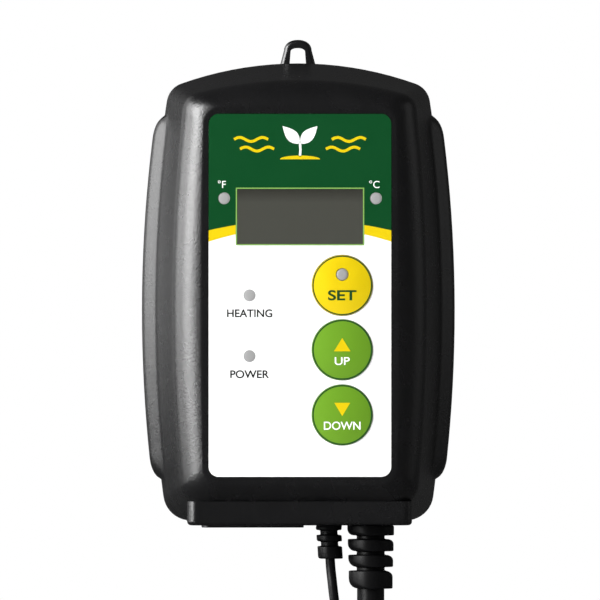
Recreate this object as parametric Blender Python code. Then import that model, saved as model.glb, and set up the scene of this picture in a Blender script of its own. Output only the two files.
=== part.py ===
"""Plug-in thermostat for a seedling heat mat, hung by its loop.

The frame: +Z is up and the face looks along -Y. The origin is the point that a nail carries: on the
plane of the back, at the underside of the hanging loop's arch. Shapes are drawn in millimetres, in
that frame, and each object's mesh is turned into metres when it is made.
"""

import math

import bmesh
import bpy
import numpy as np
from mathutils import Matrix, Vector

MM = 0.001
GAP = 0.3  # left between neighbouring pieces

# Case, seen from the front. Heights with no sign are measured up from the plinth's bottom edge.
CASE_BOTTOM = -129.8
CASE_DEPTH = 38.0
WALL = 2.0
PARTING = 12.0  # distance of the joint between the covers from the back

# An outline: half its width at side_level, the radius of its bowed sides, its top edge's crown, its
# bottom edge, and the radii of its corners.
CASE = dict(half_width=40.1, side_radius=383.0, side_level=58.0, top=125.4, top_radius=95.0,
            bottom=0.9, top_corner=6.0, bottom_corner=7.5)
FACE = dict(half_width=26.3, side_radius=2500.0, side_level=58.0, top=113.4, top_radius=600.0,
            bottom=11.2, top_corner=5.0, bottom_corner=5.0)
SHOULDER_WIDTH = 13.0  # from the flat face to the case's outline
SHOULDER_RADIUS = 8.0
SIDE_DRAFT = math.radians(14.5)
BACK_EDGE = 3.0
WING_STANDS = 2.5  # how far the grip along each side stands out
WING_DEPTH = 21.0  # where it starts, measured from the face
WING_BLEND = 4.0
WING_LOW, WING_HIGH, WING_RAMP = 12.4, 110.8, 5.5
PLINTH_HALF, PLINTH_FRONT, PLINTH_TOP, PLINTH_CORNER = 30.4, 35.2, 6.5, 2.5

# Hanging loop
LOOP_HALF, LOOP_TOP, LOOP_THICK, LOOP_ROOT = 4.7, 2.2, 4.0, -12.0
LOOP_HOLE_HALF, LOOP_HOLE_CORNER, LOOP_HOLE_BOTTOM = 2.3, 0.6, -4.38

# Face panel
LABEL_HALF, LABEL_BOTTOM, LABEL_TOP, LABEL_CORNER = 24.65, 13.2, 111.2, 2.7
LABEL_THICK, RECESS = 0.4, 0.7
WINDOW_HALF, WINDOW_HEIGHT, WINDOW_LEVEL = 17.28, 15.47, 83.5
KEY_X, KEY_RADIUS, KEY_PROUD, KEY_CLEARANCE = 11.4, 8.15, 0.3, 0.35
KEY_LEVELS = {"set": 64.9, "up": 47.5, "down": 29.9}
LAMP_RADIUS = 1.75
LAMPS = {"fahrenheit": (-20.5, 88.4), "celsius": (20.5, 88.4), "heating": (-13.6, 62.2),
         "power": (-13.6, 45.8)}
SET_LAMP_RISE, SET_LAMP_RADIUS, SET_LED_RISE = 2.94, 1.62, 4.7
FRONT_WALL = 2.7  # from the face to the inside of the front wall

# Boards. A distance named *_Y is a world Y.
DISPLAY_BOARD_Y, POWER_BOARD_Y, BOARD_THICK = -28.0, -7.0, 1.6
DISPLAY_BOARD_HALF, POWER_BOARD_HALF = 23.2, 22.2
DISPLAY_BOARD_LOW, DISPLAY_BOARD_HIGH = 25.6, 98.0
POWER_BOARD_LOW, POWER_BOARD_HIGH = 27.0, 103.5
COVER_SCREWS = {"lower_left": (-27.0, 31.0), "lower_right": (27.0, 31.0),
                "upper_left": (-24.0, 108.5), "upper_right": (24.0, 108.5)}
BOARD_SCREWS = {"lower": (-19.0, 32.0), "upper": (0.0, 95.6)}
BOSS_RADIUS, SCREW_RADIUS, SCREW_HEAD, COUNTERBORE = 3.5, 1.4, 2.7, 3.2
REAR_BOSS_RADIUS, POST_RADIUS = 4.4, 2.2
COVER_POST_Y, BOARD_POST_Y = -35.6, -36.0  # where the front cover's posts leave its front wall
OPENINGS_Y = -34.0  # how far back the front wall's openings are cut
REAR_POSTS_X, REAR_POSTS_HEIGHT = (-19.0, 19.0), (38.0, 100.0)
RATING_HALF_X, RATING_HALF_Z, RATING_HEIGHT = 20.0, 15.0, 66.0

# Outlet in the underside
OUTLET_X, OUTLET_Y, OUTLET_HALF_X, OUTLET_HALF_Y = -12.6, -17.0, 13.8, 11.5
OUTLET_PROUD, OUTLET_HEIGHT = 0.7, 24.5
BLADE_SPACING, GROUND_OFFSET = 12.7, 11.9
BLADES_Y = OUTLET_Y - 4.5

# Leads
LEAD_Y = -20.0
MAINS_X, MAINS_D, MAINS_RIB, MAINS_RELIEF_LONG, MAINS_RIBS = 19.5, 7.4, 6.35, 17.4, 4
PROBE_X, PROBE_D, PROBE_RIB, PROBE_RELIEF_LONG, PROBE_RIBS = 8.3, 2.6, 3.5, 9.3, 3

# The length of each lead that isn't in use is wound into a coil below the case.
MAINS_COIL = dict(y=-15.3, top=-170.5, radial=2, deep=4, inner=34.8, d=MAINS_D, bend=40.0)
PROBE_COIL = dict(y=-35.6, top=-155.5, radial=5, deep=4, inner=9.1, d=PROBE_D, bend=15.0)
MAINS_ROUTE = [(19.5, -20, -147.5), (19.5, -20, -151), (19.5, -20, -155.5), (19.7, -20, -160.5),
               (20.2, -19.8, -165.4), (21.1, -19.6, -169.1)]
PROBE_ROUTE = [(8.5, -20, -139.4), (8.65, -20, -141.7), (9.0, -20.6, -145), (9.4, -22.4, -148.8),
               (9.9, -25.0, -152.5), (10.6, -27.6, -155.9)]
PLUG_TOP, PLUG_BODY_TOP, PLUG_BODY_BOTTOM = -249.8, -265.5, -297.5
PLUG_HALF_X, PLUG_HALF_Y, BLADE_LONG, PIN_LONG = 12.4, 11.0, 17.0, 21.0
TIP_TOP, TIP_LONG, TIP_RADIUS = -196.8, 28.0, 2.6


def material(name, color, roughness, metallic=0.0, alpha=1.0):
    made = bpy.data.materials.get(name)
    if made:
        return made
    made = bpy.data.materials.new(name)
    made.use_nodes = True
    shader = made.node_tree.nodes["Principled BSDF"]
    shader.inputs["Base Color"].default_value = (*color, 1)
    shader.inputs["Roughness"].default_value = roughness
    shader.inputs["Metallic"].default_value = metallic
    shader.inputs["Alpha"].default_value = alpha
    return made


def black_plastic():
    return material("black_plastic", (0.012, 0.012, 0.013), 0.45)


def black_rubber():
    return material("black_rubber", (0.01, 0.01, 0.01), 0.6)


def steel():
    return material("steel", (0.6, 0.6, 0.6), 0.3, metallic=1.0)


def brass():
    return material("brass", (0.8, 0.6, 0.25), 0.3, metallic=1.0)


def level(height):
    """World Z of a height above the case's bottom edge."""
    return CASE_BOTTOM + height


def add_object(name, bm, surface, origin=(0, 0, 0)):
    """An object from a bmesh drawn in world millimetres, with its own origin at origin."""
    bmesh.ops.recalc_face_normals(bm, faces=bm.faces)
    bmesh.ops.translate(bm, vec=-Vector(origin), verts=bm.verts)
    bmesh.ops.scale(bm, vec=(MM, MM, MM), verts=bm.verts)
    mesh = bpy.data.meshes.new(name)
    bm.to_mesh(mesh)
    bm.free()
    mesh.shade_smooth()
    mesh.set_sharp_from_angle(angle=math.radians(35))
    if surface:
        mesh.materials.append(surface)
    made = bpy.data.objects.new(name, mesh)
    made.location = Vector(origin) * MM
    bpy.context.collection.objects.link(made)
    return made


def helper(name, bm, origin=(0, 0, 0)):
    """A cutter or an addition that a Boolean uses, left out of renders."""
    made = add_object(name, bm, None, origin)
    made.hide_render = True
    made.display_type = "WIRE"
    return made


def combine(target, other, operation):
    step = target.modifiers.new(other.name, "BOOLEAN")
    step.operation = operation
    step.solver = "EXACT"
    step.object = other


def add_box(bm, low, high):
    size = Vector(high) - Vector(low)
    middle = (Vector(high) + Vector(low)) / 2
    bmesh.ops.create_cube(bm, size=1, matrix=Matrix.Translation(middle) @ Matrix.Diagonal((*size, 1)))


def add_rod(bm, start, end, radius, sides=20, end_radius=None):
    start, end = Vector(start), Vector(end)
    turn = (end - start).to_track_quat("Z", "Y").to_matrix().to_4x4()
    bmesh.ops.create_cone(bm, cap_ends=True, segments=sides, radius1=radius,
                          radius2=radius if end_radius is None else end_radius,
                          depth=(end - start).length,
                          matrix=Matrix.Translation((start + end) / 2) @ turn)


def add_loft(bm, rings):
    """Closed skin through rings that have the same number of points, capped at both ends."""
    rows = [[bm.verts.new(point) for point in ring] for ring in rings]
    for row, following in zip(rows, rows[1:]):
        for i in range(len(row)):
            j = (i + 1) % len(row)
            bm.faces.new((row[i], row[j], following[j], following[i]))
    bm.faces.new(rows[0])
    bm.faces.new(rows[-1])


def rounded_rectangle(x, z, half_x, half_z, radius, steps=4):
    """Points (x, z) around a rectangle with round corners."""
    points = []
    for corner, (sx, sz) in enumerate(((1, 1), (-1, 1), (-1, -1), (1, -1))):
        for step in range(steps + 1):
            angle = math.pi / 2 * (corner + step / steps)
            points.append((x + sx * (half_x - radius) + radius * math.cos(angle),
                           z + sz * (half_z - radius) + radius * math.sin(angle)))
    return points


def add_plate(bm, outline, y_front, y_back):
    """A plate that faces along Y, from an outline in X and Z."""
    add_loft(bm, [[(x, y, z) for x, z in outline] for y in (y_front, y_back)])


def add_post(bm, outline, z_low, z_high):
    """A prism that stands along Z, from an outline in X and Y."""
    add_loft(bm, [[(x, y, z) for x, y in outline] for z in (z_low, z_high)])


def add_turned(bm, x, y, profile, sides=20):
    """A solid turned about the vertical line through x and y, from (radius, z) points."""
    angles = [2 * math.pi * i / sides for i in range(sides)]
    add_loft(bm, [[(x + r * math.cos(a), y + r * math.sin(a), z) for a in angles]
                  for r, z in profile])


def add_turned_along_y(bm, x, z, profile, sides=16):
    """A solid turned about the line along Y through x and z, from (radius, y) points."""
    angles = [2 * math.pi * i / sides for i in range(sides)]
    add_loft(bm, [[(x + r * math.cos(a), y, z + r * math.sin(a)) for a in angles]
                  for r, y in profile])


def side_fractions():
    """Where the side of an outline has its points: close together where the grips rise and fall."""
    ramp = list(np.linspace(0.025, 0.092, 4))
    middle = list(np.linspace(0.22, 0.78, 5))
    return [0.0, *ramp, *middle, *(1 - f for f in reversed(ramp)), 1.0]


def arc(centre, radius, start, end, fractions):
    return [(centre[0] + radius * math.cos(start + f * (end - start)),
             centre[1] + radius * math.sin(start + f * (end - start))) for f in fractions]


def right_half(shape, inset):
    """Points (x, height) up the right half of an outline that is moved in by inset."""
    side_r, top_r = shape["side_radius"] - inset, shape["top_radius"] - inset
    side_c = (shape["half_width"] - shape["side_radius"], shape["side_level"])
    top_c = (0.0, shape["top"] - shape["top_radius"])
    low_r, high_r = (max(shape[k] - inset, 1.0) for k in ("bottom_corner", "top_corner"))
    low_z = shape["bottom"] + inset + low_r
    low_c = (side_c[0] + math.sqrt((side_r - low_r) ** 2 - (low_z - side_c[1]) ** 2), low_z)
    # The upper corner's centre is where the two arcs, moved in by its radius, cross.
    a, b = side_r - high_r, top_r - high_r
    across, up = top_c[0] - side_c[0], top_c[1] - side_c[1]
    apart = math.hypot(across, up)
    along = (a * a - b * b + apart * apart) / (2 * apart)
    off = math.sqrt(a * a - along * along)
    high_c = (side_c[0] + (along * across - off * up) / apart,
              side_c[1] + (along * up + off * across) / apart)
    low_turn = math.atan2(low_c[1] - side_c[1], low_c[0] - side_c[0])
    high_turn = math.atan2(high_c[1] - side_c[1], high_c[0] - side_c[0])
    top_turn = math.atan2(high_c[1] - top_c[1], high_c[0] - top_c[0])
    bottom = shape["bottom"] + inset
    points = [(low_c[0] * f, bottom) for f in (0.0, 0.35, 0.7)]
    points += arc(low_c, low_r, -math.pi / 2, low_turn, (0, 0.2, 0.4, 0.6, 0.8))
    points += arc(side_c, side_r, low_turn, high_turn, side_fractions())
    points += arc(high_c, high_r, high_turn, top_turn, (0.25, 0.5, 0.75, 1))
    points += arc(top_c, top_r, top_turn, math.pi / 2, (0.2, 0.45, 0.7, 1))
    return points


def smooth_step(value):
    value = min(max(value, 0.0), 1.0)
    return value * value * (3 - 2 * value)


def quarter_round(value):
    value = min(max(value, 0.0), 1.0)
    return math.sqrt(1 - (1 - value) ** 2)


def wing_share(height):
    rise = quarter_round((height - WING_LOW) / WING_RAMP)
    return rise * quarter_round((WING_HIGH - height) / WING_RAMP)


def case_ring(depth, spread, wing, inset=0.0, shave=0.0):
    """One ring around the case, depth behind its face. spread is 0 at the flat face's edge and 1 at
    the outline, and shave draws the whole ring in at the back edge."""
    face, case = right_half(FACE, inset), right_half(CASE, inset + shave)
    points = []
    for (fx, fz), (cx, cz) in zip(face, case):
        x, z = fx + spread * (cx - fx), fz + spread * (cz - fz)
        bulge = wing * WING_STANDS * wing_share(z) if x > 0.5 * FACE["half_width"] else 0.0
        points.append((x + bulge, depth - CASE_DEPTH, level(z)))
    return points + [(-x, y, z) for x, y, z in reversed(points[1:-1])]


def shoulder(radius):
    """(depth, spread) along the rounded shoulder, from the flat face to the drafted side."""
    steps = [(math.pi / 2 - SIDE_DRAFT) * i / 6 for i in range(7)]
    return [(SHOULDER_RADIUS - radius * math.cos(a), radius * math.sin(a) / SHOULDER_WIDTH)
            for a in steps]


def side_spread(depth):
    """How far out the drafted side is at this depth."""
    end_depth, end_spread = shoulder(SHOULDER_RADIUS)[-1]
    joint = CASE_DEPTH - PARTING
    return min(1.0, end_spread + (1 - end_spread) * (depth - end_depth) / (joint - end_depth))


def side_rings(first, last, inset=0.0):
    """Rings down the side between two depths, with the grip rising across its own depths."""
    depths = [WING_DEPTH + WING_BLEND * f for f in (0.0, 0.3, 0.6, 1.0)]
    depths = [first] + [d for d in depths if first < d < last] + [last]
    return [case_ring(d, side_spread(d), smooth_step((d - WING_DEPTH) / WING_BLEND), inset)
            for d in depths]


def plinth_outline(inset, y_back):
    """Plan of the block under the case that squares off its underside."""
    half, front, r = PLINTH_HALF - inset, inset - PLINTH_FRONT, PLINTH_CORNER
    right = [(half - r + r * math.sin(a), front + r - r * math.cos(a))
             for a in (0, math.pi / 6, math.pi / 3, math.pi / 2)]
    right.append((half, y_back))
    return right + [(-x, y) for x, y in reversed(right)]


def add_lead_holes(bm):
    for x, rib, bore in ((MAINS_X, MAINS_RIB, 5.8), (PROBE_X, PROBE_RIB, 3.2)):
        add_rod(bm, (x, LEAD_Y, level(-2)), (x, LEAD_Y, level(WALL + 2)), bore, 16)


def add_outlet_hole(bm):
    low = (OUTLET_X - OUTLET_HALF_X - GAP, OUTLET_Y - OUTLET_HALF_Y - GAP, level(-3))
    high = (OUTLET_X + OUTLET_HALF_X + GAP, OUTLET_Y + OUTLET_HALF_Y + GAP, level(WALL + 1.5))
    add_box(bm, low, high)


def front_cover():
    joint = CASE_DEPTH - PARTING - GAP / 2
    bm = bmesh.new()
    outside = [case_ring(d, s, 0.0) for d, s in shoulder(SHOULDER_RADIUS)]
    add_loft(bm, outside + side_rings(14.0, joint))
    cover = add_object("front_cover", bm, black_plastic())

    bm = bmesh.new()
    add_post(bm, plinth_outline(0.0, -PARTING - GAP / 2), level(0), level(PLINTH_TOP))
    combine(cover, helper("front_plinth", bm), "UNION")

    bm = bmesh.new()
    inner = SHOULDER_RADIUS - FRONT_WALL
    add_loft(bm, [case_ring(d, s, 0.0, WALL) for d, s in shoulder(inner)]
             + side_rings(14.0, joint + 2, WALL))
    combine(cover, helper("front_cavity", bm), "DIFFERENCE")
    bm = bmesh.new()
    add_post(bm, plinth_outline(WALL, -PARTING + 2), level(WALL), level(PLINTH_TOP + 6))
    combine(cover, helper("front_plinth_cavity", bm), "DIFFERENCE")

    bm = bmesh.new()
    for x, height in COVER_SCREWS.values():
        add_rod(bm, (x, COVER_POST_Y, level(height)),
                (x, -PARTING - GAP / 2, level(height)), BOSS_RADIUS, 16)
    for x, height in BOARD_SCREWS.values():
        add_rod(bm, (x, BOARD_POST_Y, level(height)),
                (x, DISPLAY_BOARD_Y - GAP, level(height)), POST_RADIUS, 12)
    combine(cover, helper("front_posts", bm), "UNION")

    bm = bmesh.new()
    middle, half_z = (LABEL_BOTTOM + LABEL_TOP) / 2, (LABEL_TOP - LABEL_BOTTOM) / 2
    add_plate(bm, rounded_rectangle(0, level(middle), LABEL_HALF + GAP, half_z + GAP,
                                    LABEL_CORNER + GAP), -CASE_DEPTH - 2, -CASE_DEPTH + RECESS)
    combine(cover, helper("label_recess", bm), "DIFFERENCE")

    bm = bmesh.new()
    add_plate(bm, rounded_rectangle(0, level(WINDOW_LEVEL), WINDOW_HALF + GAP,
                                    WINDOW_HEIGHT / 2 + GAP, 0.6, 2), -CASE_DEPTH, OPENINGS_Y)
    for height in KEY_LEVELS.values():
        add_rod(bm, (KEY_X, -CASE_DEPTH - 1, level(height)), (KEY_X, OPENINGS_Y, level(height)),
                KEY_RADIUS + KEY_CLEARANCE, 32)
    for x, height in LAMPS.values():
        add_rod(bm, (x, -CASE_DEPTH - 1, level(height)), (x, OPENINGS_Y, level(height)),
                LAMP_RADIUS + GAP, 16)
    for x, height in COVER_SCREWS.values():
        add_rod(bm, (x, -24, level(height)), (x, -8, level(height)), SCREW_RADIUS + GAP, 12)
    for x, height in BOARD_SCREWS.values():
        add_rod(bm, (x, -33.5, level(height)), (x, -24, level(height)), 1.3, 10)
    add_lead_holes(bm)
    add_outlet_hole(bm)
    combine(cover, helper("front_holes", bm), "DIFFERENCE")


def loop_outline(half, top_half, top, root, corner):
    """Arch shape of the hanging loop or of its hole, half as wide as half at the crest."""
    right = [(half, root), (half, LOOP_HOLE_BOTTOM + 0.1)]
    for step in range(5):
        angle = math.pi / 2 * step / 4
        right.append((top_half - corner + corner * math.cos(angle),
                      top - corner + corner * math.sin(angle)))
    return right + [(-x, z) for x, z in reversed(right)]


def rear_cover():
    joint = CASE_DEPTH - PARTING + GAP / 2
    back = CASE_DEPTH - BACK_EDGE
    edge = [(back + BACK_EDGE * math.sin(a), BACK_EDGE * (1 - math.cos(a)))
            for a in (math.radians(30), math.radians(60), math.radians(90))]
    bm = bmesh.new()
    add_loft(bm, [case_ring(joint, 1, 1), case_ring(back, 1, 1)]
             + [case_ring(d, 1, 1, 0, shave) for d, shave in edge])
    cover = add_object("rear_cover", bm, black_plastic())

    bm = bmesh.new()
    add_box(bm, (-PLINTH_HALF, -PARTING + GAP / 2, level(0)),
            (PLINTH_HALF, -BACK_EDGE, level(PLINTH_TOP)))
    combine(cover, helper("rear_plinth", bm), "UNION")
    bm = bmesh.new()
    add_plate(bm, loop_outline(LOOP_HALF, 3.9, LOOP_TOP, LOOP_ROOT, 3.2), -LOOP_THICK, -0.1)
    combine(cover, helper("loop_plate", bm), "UNION")

    bm = bmesh.new()
    add_loft(bm, [case_ring(joint - 2, 1, 1, WALL), case_ring(back, 1, 1, WALL),
                  case_ring(CASE_DEPTH - WALL, 1, 1, WALL, 0.8)])
    combine(cover, helper("rear_cavity", bm), "DIFFERENCE")
    bm = bmesh.new()
    half = PLINTH_HALF - WALL
    add_box(bm, (-half, -PARTING - 2, level(WALL)), (half, -BACK_EDGE - WALL, level(PLINTH_TOP + 6)))
    combine(cover, helper("rear_plinth_cavity", bm), "DIFFERENCE")

    bm = bmesh.new()
    for x, height in COVER_SCREWS.values():
        add_rod(bm, (x, -PARTING + GAP / 2, level(height)), (x, -1, level(height)),
                REAR_BOSS_RADIUS, 16)
    for x in REAR_POSTS_X:
        for height in REAR_POSTS_HEIGHT:
            add_rod(bm, (x, POWER_BOARD_Y + BOARD_THICK + GAP, level(height)),
                    (x, -1, level(height)), POST_RADIUS, 12)
    combine(cover, helper("rear_posts", bm), "UNION")

    bm = bmesh.new()
    hole = loop_outline(LOOP_HOLE_HALF, LOOP_HOLE_HALF, 0.0, LOOP_HOLE_BOTTOM, LOOP_HOLE_CORNER)
    add_plate(bm, hole, -LOOP_THICK - 3, 3)
    for x, height in COVER_SCREWS.values():
        add_turned_along_y(bm, x, level(height), [(SCREW_RADIUS + GAP, -16), (SCREW_RADIUS + GAP, -4),
                                                  (COUNTERBORE, -4), (COUNTERBORE, 1)])
    add_outlet_hole(bm)
    add_plate(bm, rounded_rectangle(0, level(RATING_HEIGHT), RATING_HALF_X + GAP,
                                    RATING_HALF_Z + GAP, 2), -RECESS, 1)
    combine(cover, helper("rear_holes", bm), "DIFFERENCE")


def label_overlay():
    middle, half_z = (LABEL_BOTTOM + LABEL_TOP) / 2, (LABEL_TOP - LABEL_BOTTOM) / 2
    bm = bmesh.new()
    outline = rounded_rectangle(0, level(middle), LABEL_HALF, half_z, LABEL_CORNER)
    add_plate(bm, outline, -CASE_DEPTH, -CASE_DEPTH + LABEL_THICK)
    label = add_object("label_overlay", bm, material("printed_film", (0.8, 0.82, 0.8), 0.35))
    bm = bmesh.new()
    add_plate(bm, rounded_rectangle(0, level(WINDOW_LEVEL), WINDOW_HALF + GAP,
                                    WINDOW_HEIGHT / 2 + GAP, 0.6, 2), -39, -37)
    for height in KEY_LEVELS.values():
        add_rod(bm, (KEY_X, -39, level(height)), (KEY_X, -37, level(height)),
                KEY_RADIUS + KEY_CLEARANCE, 32)
    for x, height in LAMPS.values():
        add_rod(bm, (x, -39, level(height)), (x, -37, level(height)), LAMP_RADIUS + GAP, 16)
    combine(label, helper("label_holes", bm), "DIFFERENCE")


def display_window():
    bm = bmesh.new()
    outline = rounded_rectangle(0, level(WINDOW_LEVEL), WINDOW_HALF, WINDOW_HEIGHT / 2, 0.5, 2)
    add_plate(bm, outline, -CASE_DEPTH, -35.4)
    add_object("display_window", bm, material("smoked_window", (0.07, 0.07, 0.06), 0.1))


def light_pipes():
    clear = material("clear_acrylic", (0.6, 0.6, 0.6), 0.3)
    for name, (x, height) in LAMPS.items():
        bm = bmesh.new()
        z = level(height)
        # A step behind the wall holds it in: front stem, flange and tail in one turned profile.
        profile = [(LAMP_RADIUS, -CASE_DEPTH), (LAMP_RADIUS, -34.95), (2.4, -34.95),
                   (2.4, -34.2), (LAMP_RADIUS, -34.2), (LAMP_RADIUS, -31.0)]
        add_turned_along_y(bm, x, z, profile)
        add_object("light_pipe_" + name, bm, clear)
    bm = bmesh.new()
    z = level(KEY_LEVELS["set"] + SET_LAMP_RISE)
    add_rod(bm, (KEY_X, -CASE_DEPTH - KEY_PROUD, z), (KEY_X, -33.6, z), SET_LAMP_RADIUS, 16)
    add_object("light_pipe_set", bm, clear, (KEY_X, -CASE_DEPTH, z))


def keys():
    """Each key is a disc that the wall's hole guides, ears that stop it leaving, and a stem."""
    colors = {"set": (0.9, 0.68, 0.01), "up": (0.18, 0.44, 0.03), "down": (0.18, 0.44, 0.03)}
    for name, height in KEY_LEVELS.items():
        z = level(height)
        origin = (KEY_X, -CASE_DEPTH, z)
        bm = bmesh.new()
        add_rod(bm, (KEY_X, -CASE_DEPTH - KEY_PROUD, z), (KEY_X, -33.9, z), KEY_RADIUS, 40)
        key = add_object("key_" + name, bm, material("key_" + name, colors[name], 0.4), origin)
        bm = bmesh.new()
        add_box(bm, (KEY_X - 9.5, -34.95, z - 4), (KEY_X + 9.5, -33.85, z + 4))
        combine(key, helper(name + "_ears", bm, origin), "UNION")
        bm = bmesh.new()
        add_rod(bm, (KEY_X, -34.4, z), (KEY_X, -33.5, z), 1.6, 16)
        combine(key, helper(name + "_stem", bm, origin), "UNION")
        if name == "set":
            bm = bmesh.new()
            rise = z + SET_LAMP_RISE
            add_rod(bm, (KEY_X, -40, rise), (KEY_X, -32, rise), SET_LAMP_RADIUS + 0.25, 16)
            combine(key, helper("set_lamp_hole", bm, origin), "DIFFERENCE")


def tact_switches():
    for name, height in KEY_LEVELS.items():
        z = level(height)
        bm = bmesh.new()
        add_rod(bm, (KEY_X, -33.2, z), (KEY_X, -31.0, z), 1.5, 14)
        add_object("switch_plunger_" + name, bm, material("plunger", (0.02, 0.02, 0.02), 0.5),
                   (KEY_X, -33.2, z))
        bm = bmesh.new()
        add_box(bm, (KEY_X - 3, -31.8, z - 3), (KEY_X + 3, DISPLAY_BOARD_Y - GAP, z + 3))
        body = add_object("tact_switch_" + name, bm, steel())
        bm = bmesh.new()
        add_rod(bm, (KEY_X, -33, z), (KEY_X, -30.3, z), 1.8, 14)
        combine(body, helper(name + "_pocket", bm), "DIFFERENCE")


def board(name, half, y, low, high, holes):
    bm = bmesh.new()
    add_box(bm, (-half, y, level(low)), (half, y + BOARD_THICK, level(high)))
    made = add_object(name, bm, material("circuit_board", (0.02, 0.16, 0.06), 0.4))
    if holes:
        bm = bmesh.new()
        for x, height in holes:
            add_rod(bm, (x, y - 1, level(height)), (x, y + BOARD_THICK + 1, level(height)), 1.3, 12)
        combine(made, helper(name + "_holes", bm), "DIFFERENCE")


def display_electronics():
    board("display_board", DISPLAY_BOARD_HALF, DISPLAY_BOARD_Y, DISPLAY_BOARD_LOW,
          DISPLAY_BOARD_HIGH, BOARD_SCREWS.values())
    front, back = DISPLAY_BOARD_Y - GAP, DISPLAY_BOARD_Y + BOARD_THICK + GAP
    z = level(WINDOW_LEVEL)
    bm = bmesh.new()
    add_box(bm, (-17.2, -35.0, z - 9.5), (17.2, front, z + 9.5))
    add_object("led_display", bm, material("display_module", (0.03, 0.03, 0.03), 0.4))
    lamp = material("led_epoxy", (0.7, 0.1, 0.05), 0.2)
    for name, (x, height) in LAMPS.items():
        bm = bmesh.new()
        add_rod(bm, (x, front, level(height)), (x, -30.6, level(height)), 1.5, 14, 1.1)
        add_object("led_" + name, bm, lamp)
    bm = bmesh.new()
    rise = level(KEY_LEVELS["set"] + SET_LED_RISE)
    add_box(bm, (KEY_X - 1.6, front - 1.2, rise - 0.7), (KEY_X + 1.6, front, rise + 0.7))
    add_object("led_set", bm, lamp)
    bm = bmesh.new()
    add_box(bm, (-5, back, level(58)), (5, back + 1.6, level(64)))
    add_object("microcontroller", bm, material("chip", (0.02, 0.02, 0.02), 0.5))
    bm = bmesh.new()
    add_box(bm, (8, back, level(93)), (20, POWER_BOARD_Y - GAP, level(95.6)))
    add_object("board_connector", bm, material("connector", (0.02, 0.02, 0.02), 0.5))


def power_electronics():
    board("power_board", POWER_BOARD_HALF, POWER_BOARD_Y, POWER_BOARD_LOW, POWER_BOARD_HIGH, [])
    foot = POWER_BOARD_Y - GAP
    bm = bmesh.new()
    add_box(bm, (-21, foot - 15.3, level(37)), (-5.5, foot, level(56)))
    add_object("relay", bm, material("relay_case", (0.02, 0.1, 0.35), 0.4))
    bm = bmesh.new()
    add_box(bm, (0, foot - 14, level(38)), (21, foot, level(58)))
    core = add_object("transformer", bm, material("ferrite", (0.05, 0.05, 0.05), 0.6))
    bm = bmesh.new()
    add_rod(bm, (10.5, foot - 7, level(34)), (10.5, foot - 7, level(62)), 6.2, 20)
    combine(core, helper("transformer_coil", bm), "UNION")
    bm = bmesh.new()
    add_rod(bm, (-14, foot, level(66)), (-14, foot - 16, level(66)), 5, 20)
    add_object("filter_capacitor", bm, material("sleeve", (0.02, 0.03, 0.12), 0.4))
    bm = bmesh.new()
    add_rod(bm, (14, foot - 3.2, level(66)), (14, foot - 3.2, level(86)), 2.6, 14)
    add_object("fuse", bm, material("fuse_glass", (0.6, 0.6, 0.55), 0.2))
    bm = bmesh.new()
    add_rod(bm, (-16, foot - 5.3, level(86)), (-12, foot - 5.3, level(86)), 5, 20)
    add_object("varistor", bm, material("varistor", (0.02, 0.1, 0.4), 0.4))


def screw(name, x, z, head_y, head_long, head_radius, radius, tip_y):
    """A pan-head screw along Y. Its slot is a shallow cross."""
    bm = bmesh.new()
    profile = [(radius * 0.5, tip_y), (radius, tip_y + 1.2), (radius, head_y - head_long),
               (head_radius, head_y - head_long), (head_radius, head_y - 0.5),
               (head_radius * 0.75, head_y)]
    add_turned_along_y(bm, x, z, profile)
    made = add_object(name, bm, steel())
    bm = bmesh.new()
    arm, half = head_radius * 0.6, 0.35
    add_box(bm, (x - arm, head_y - 1, z - half), (x + arm, head_y + 1, z + half))
    combine(made, helper(name + "_slot", bm), "DIFFERENCE")
    bm = bmesh.new()
    add_box(bm, (x - half, head_y - 1, z - arm), (x + half, head_y + 1, z + arm))
    combine(made, helper(name + "_cross", bm), "DIFFERENCE")


def screws():
    for name, (x, height) in COVER_SCREWS.items():
        screw("cover_screw_" + name, x, level(height), -1.4, 2.2, SCREW_HEAD, SCREW_RADIUS, -22)
    back = DISPLAY_BOARD_Y + BOARD_THICK
    for name, (x, height) in BOARD_SCREWS.items():
        screw("display_board_screw_" + name, x, level(height), back + GAP + 1.6, 1.6, 2.2, 1.0, -32)


def rating_label():
    bm = bmesh.new()
    add_plate(bm, rounded_rectangle(0, level(RATING_HEIGHT), RATING_HALF_X, RATING_HALF_Z, 1.7),
              -0.35, 0)
    add_object("rating_label", bm, material("silver_film", (0.6, 0.6, 0.6), 0.4))


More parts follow.
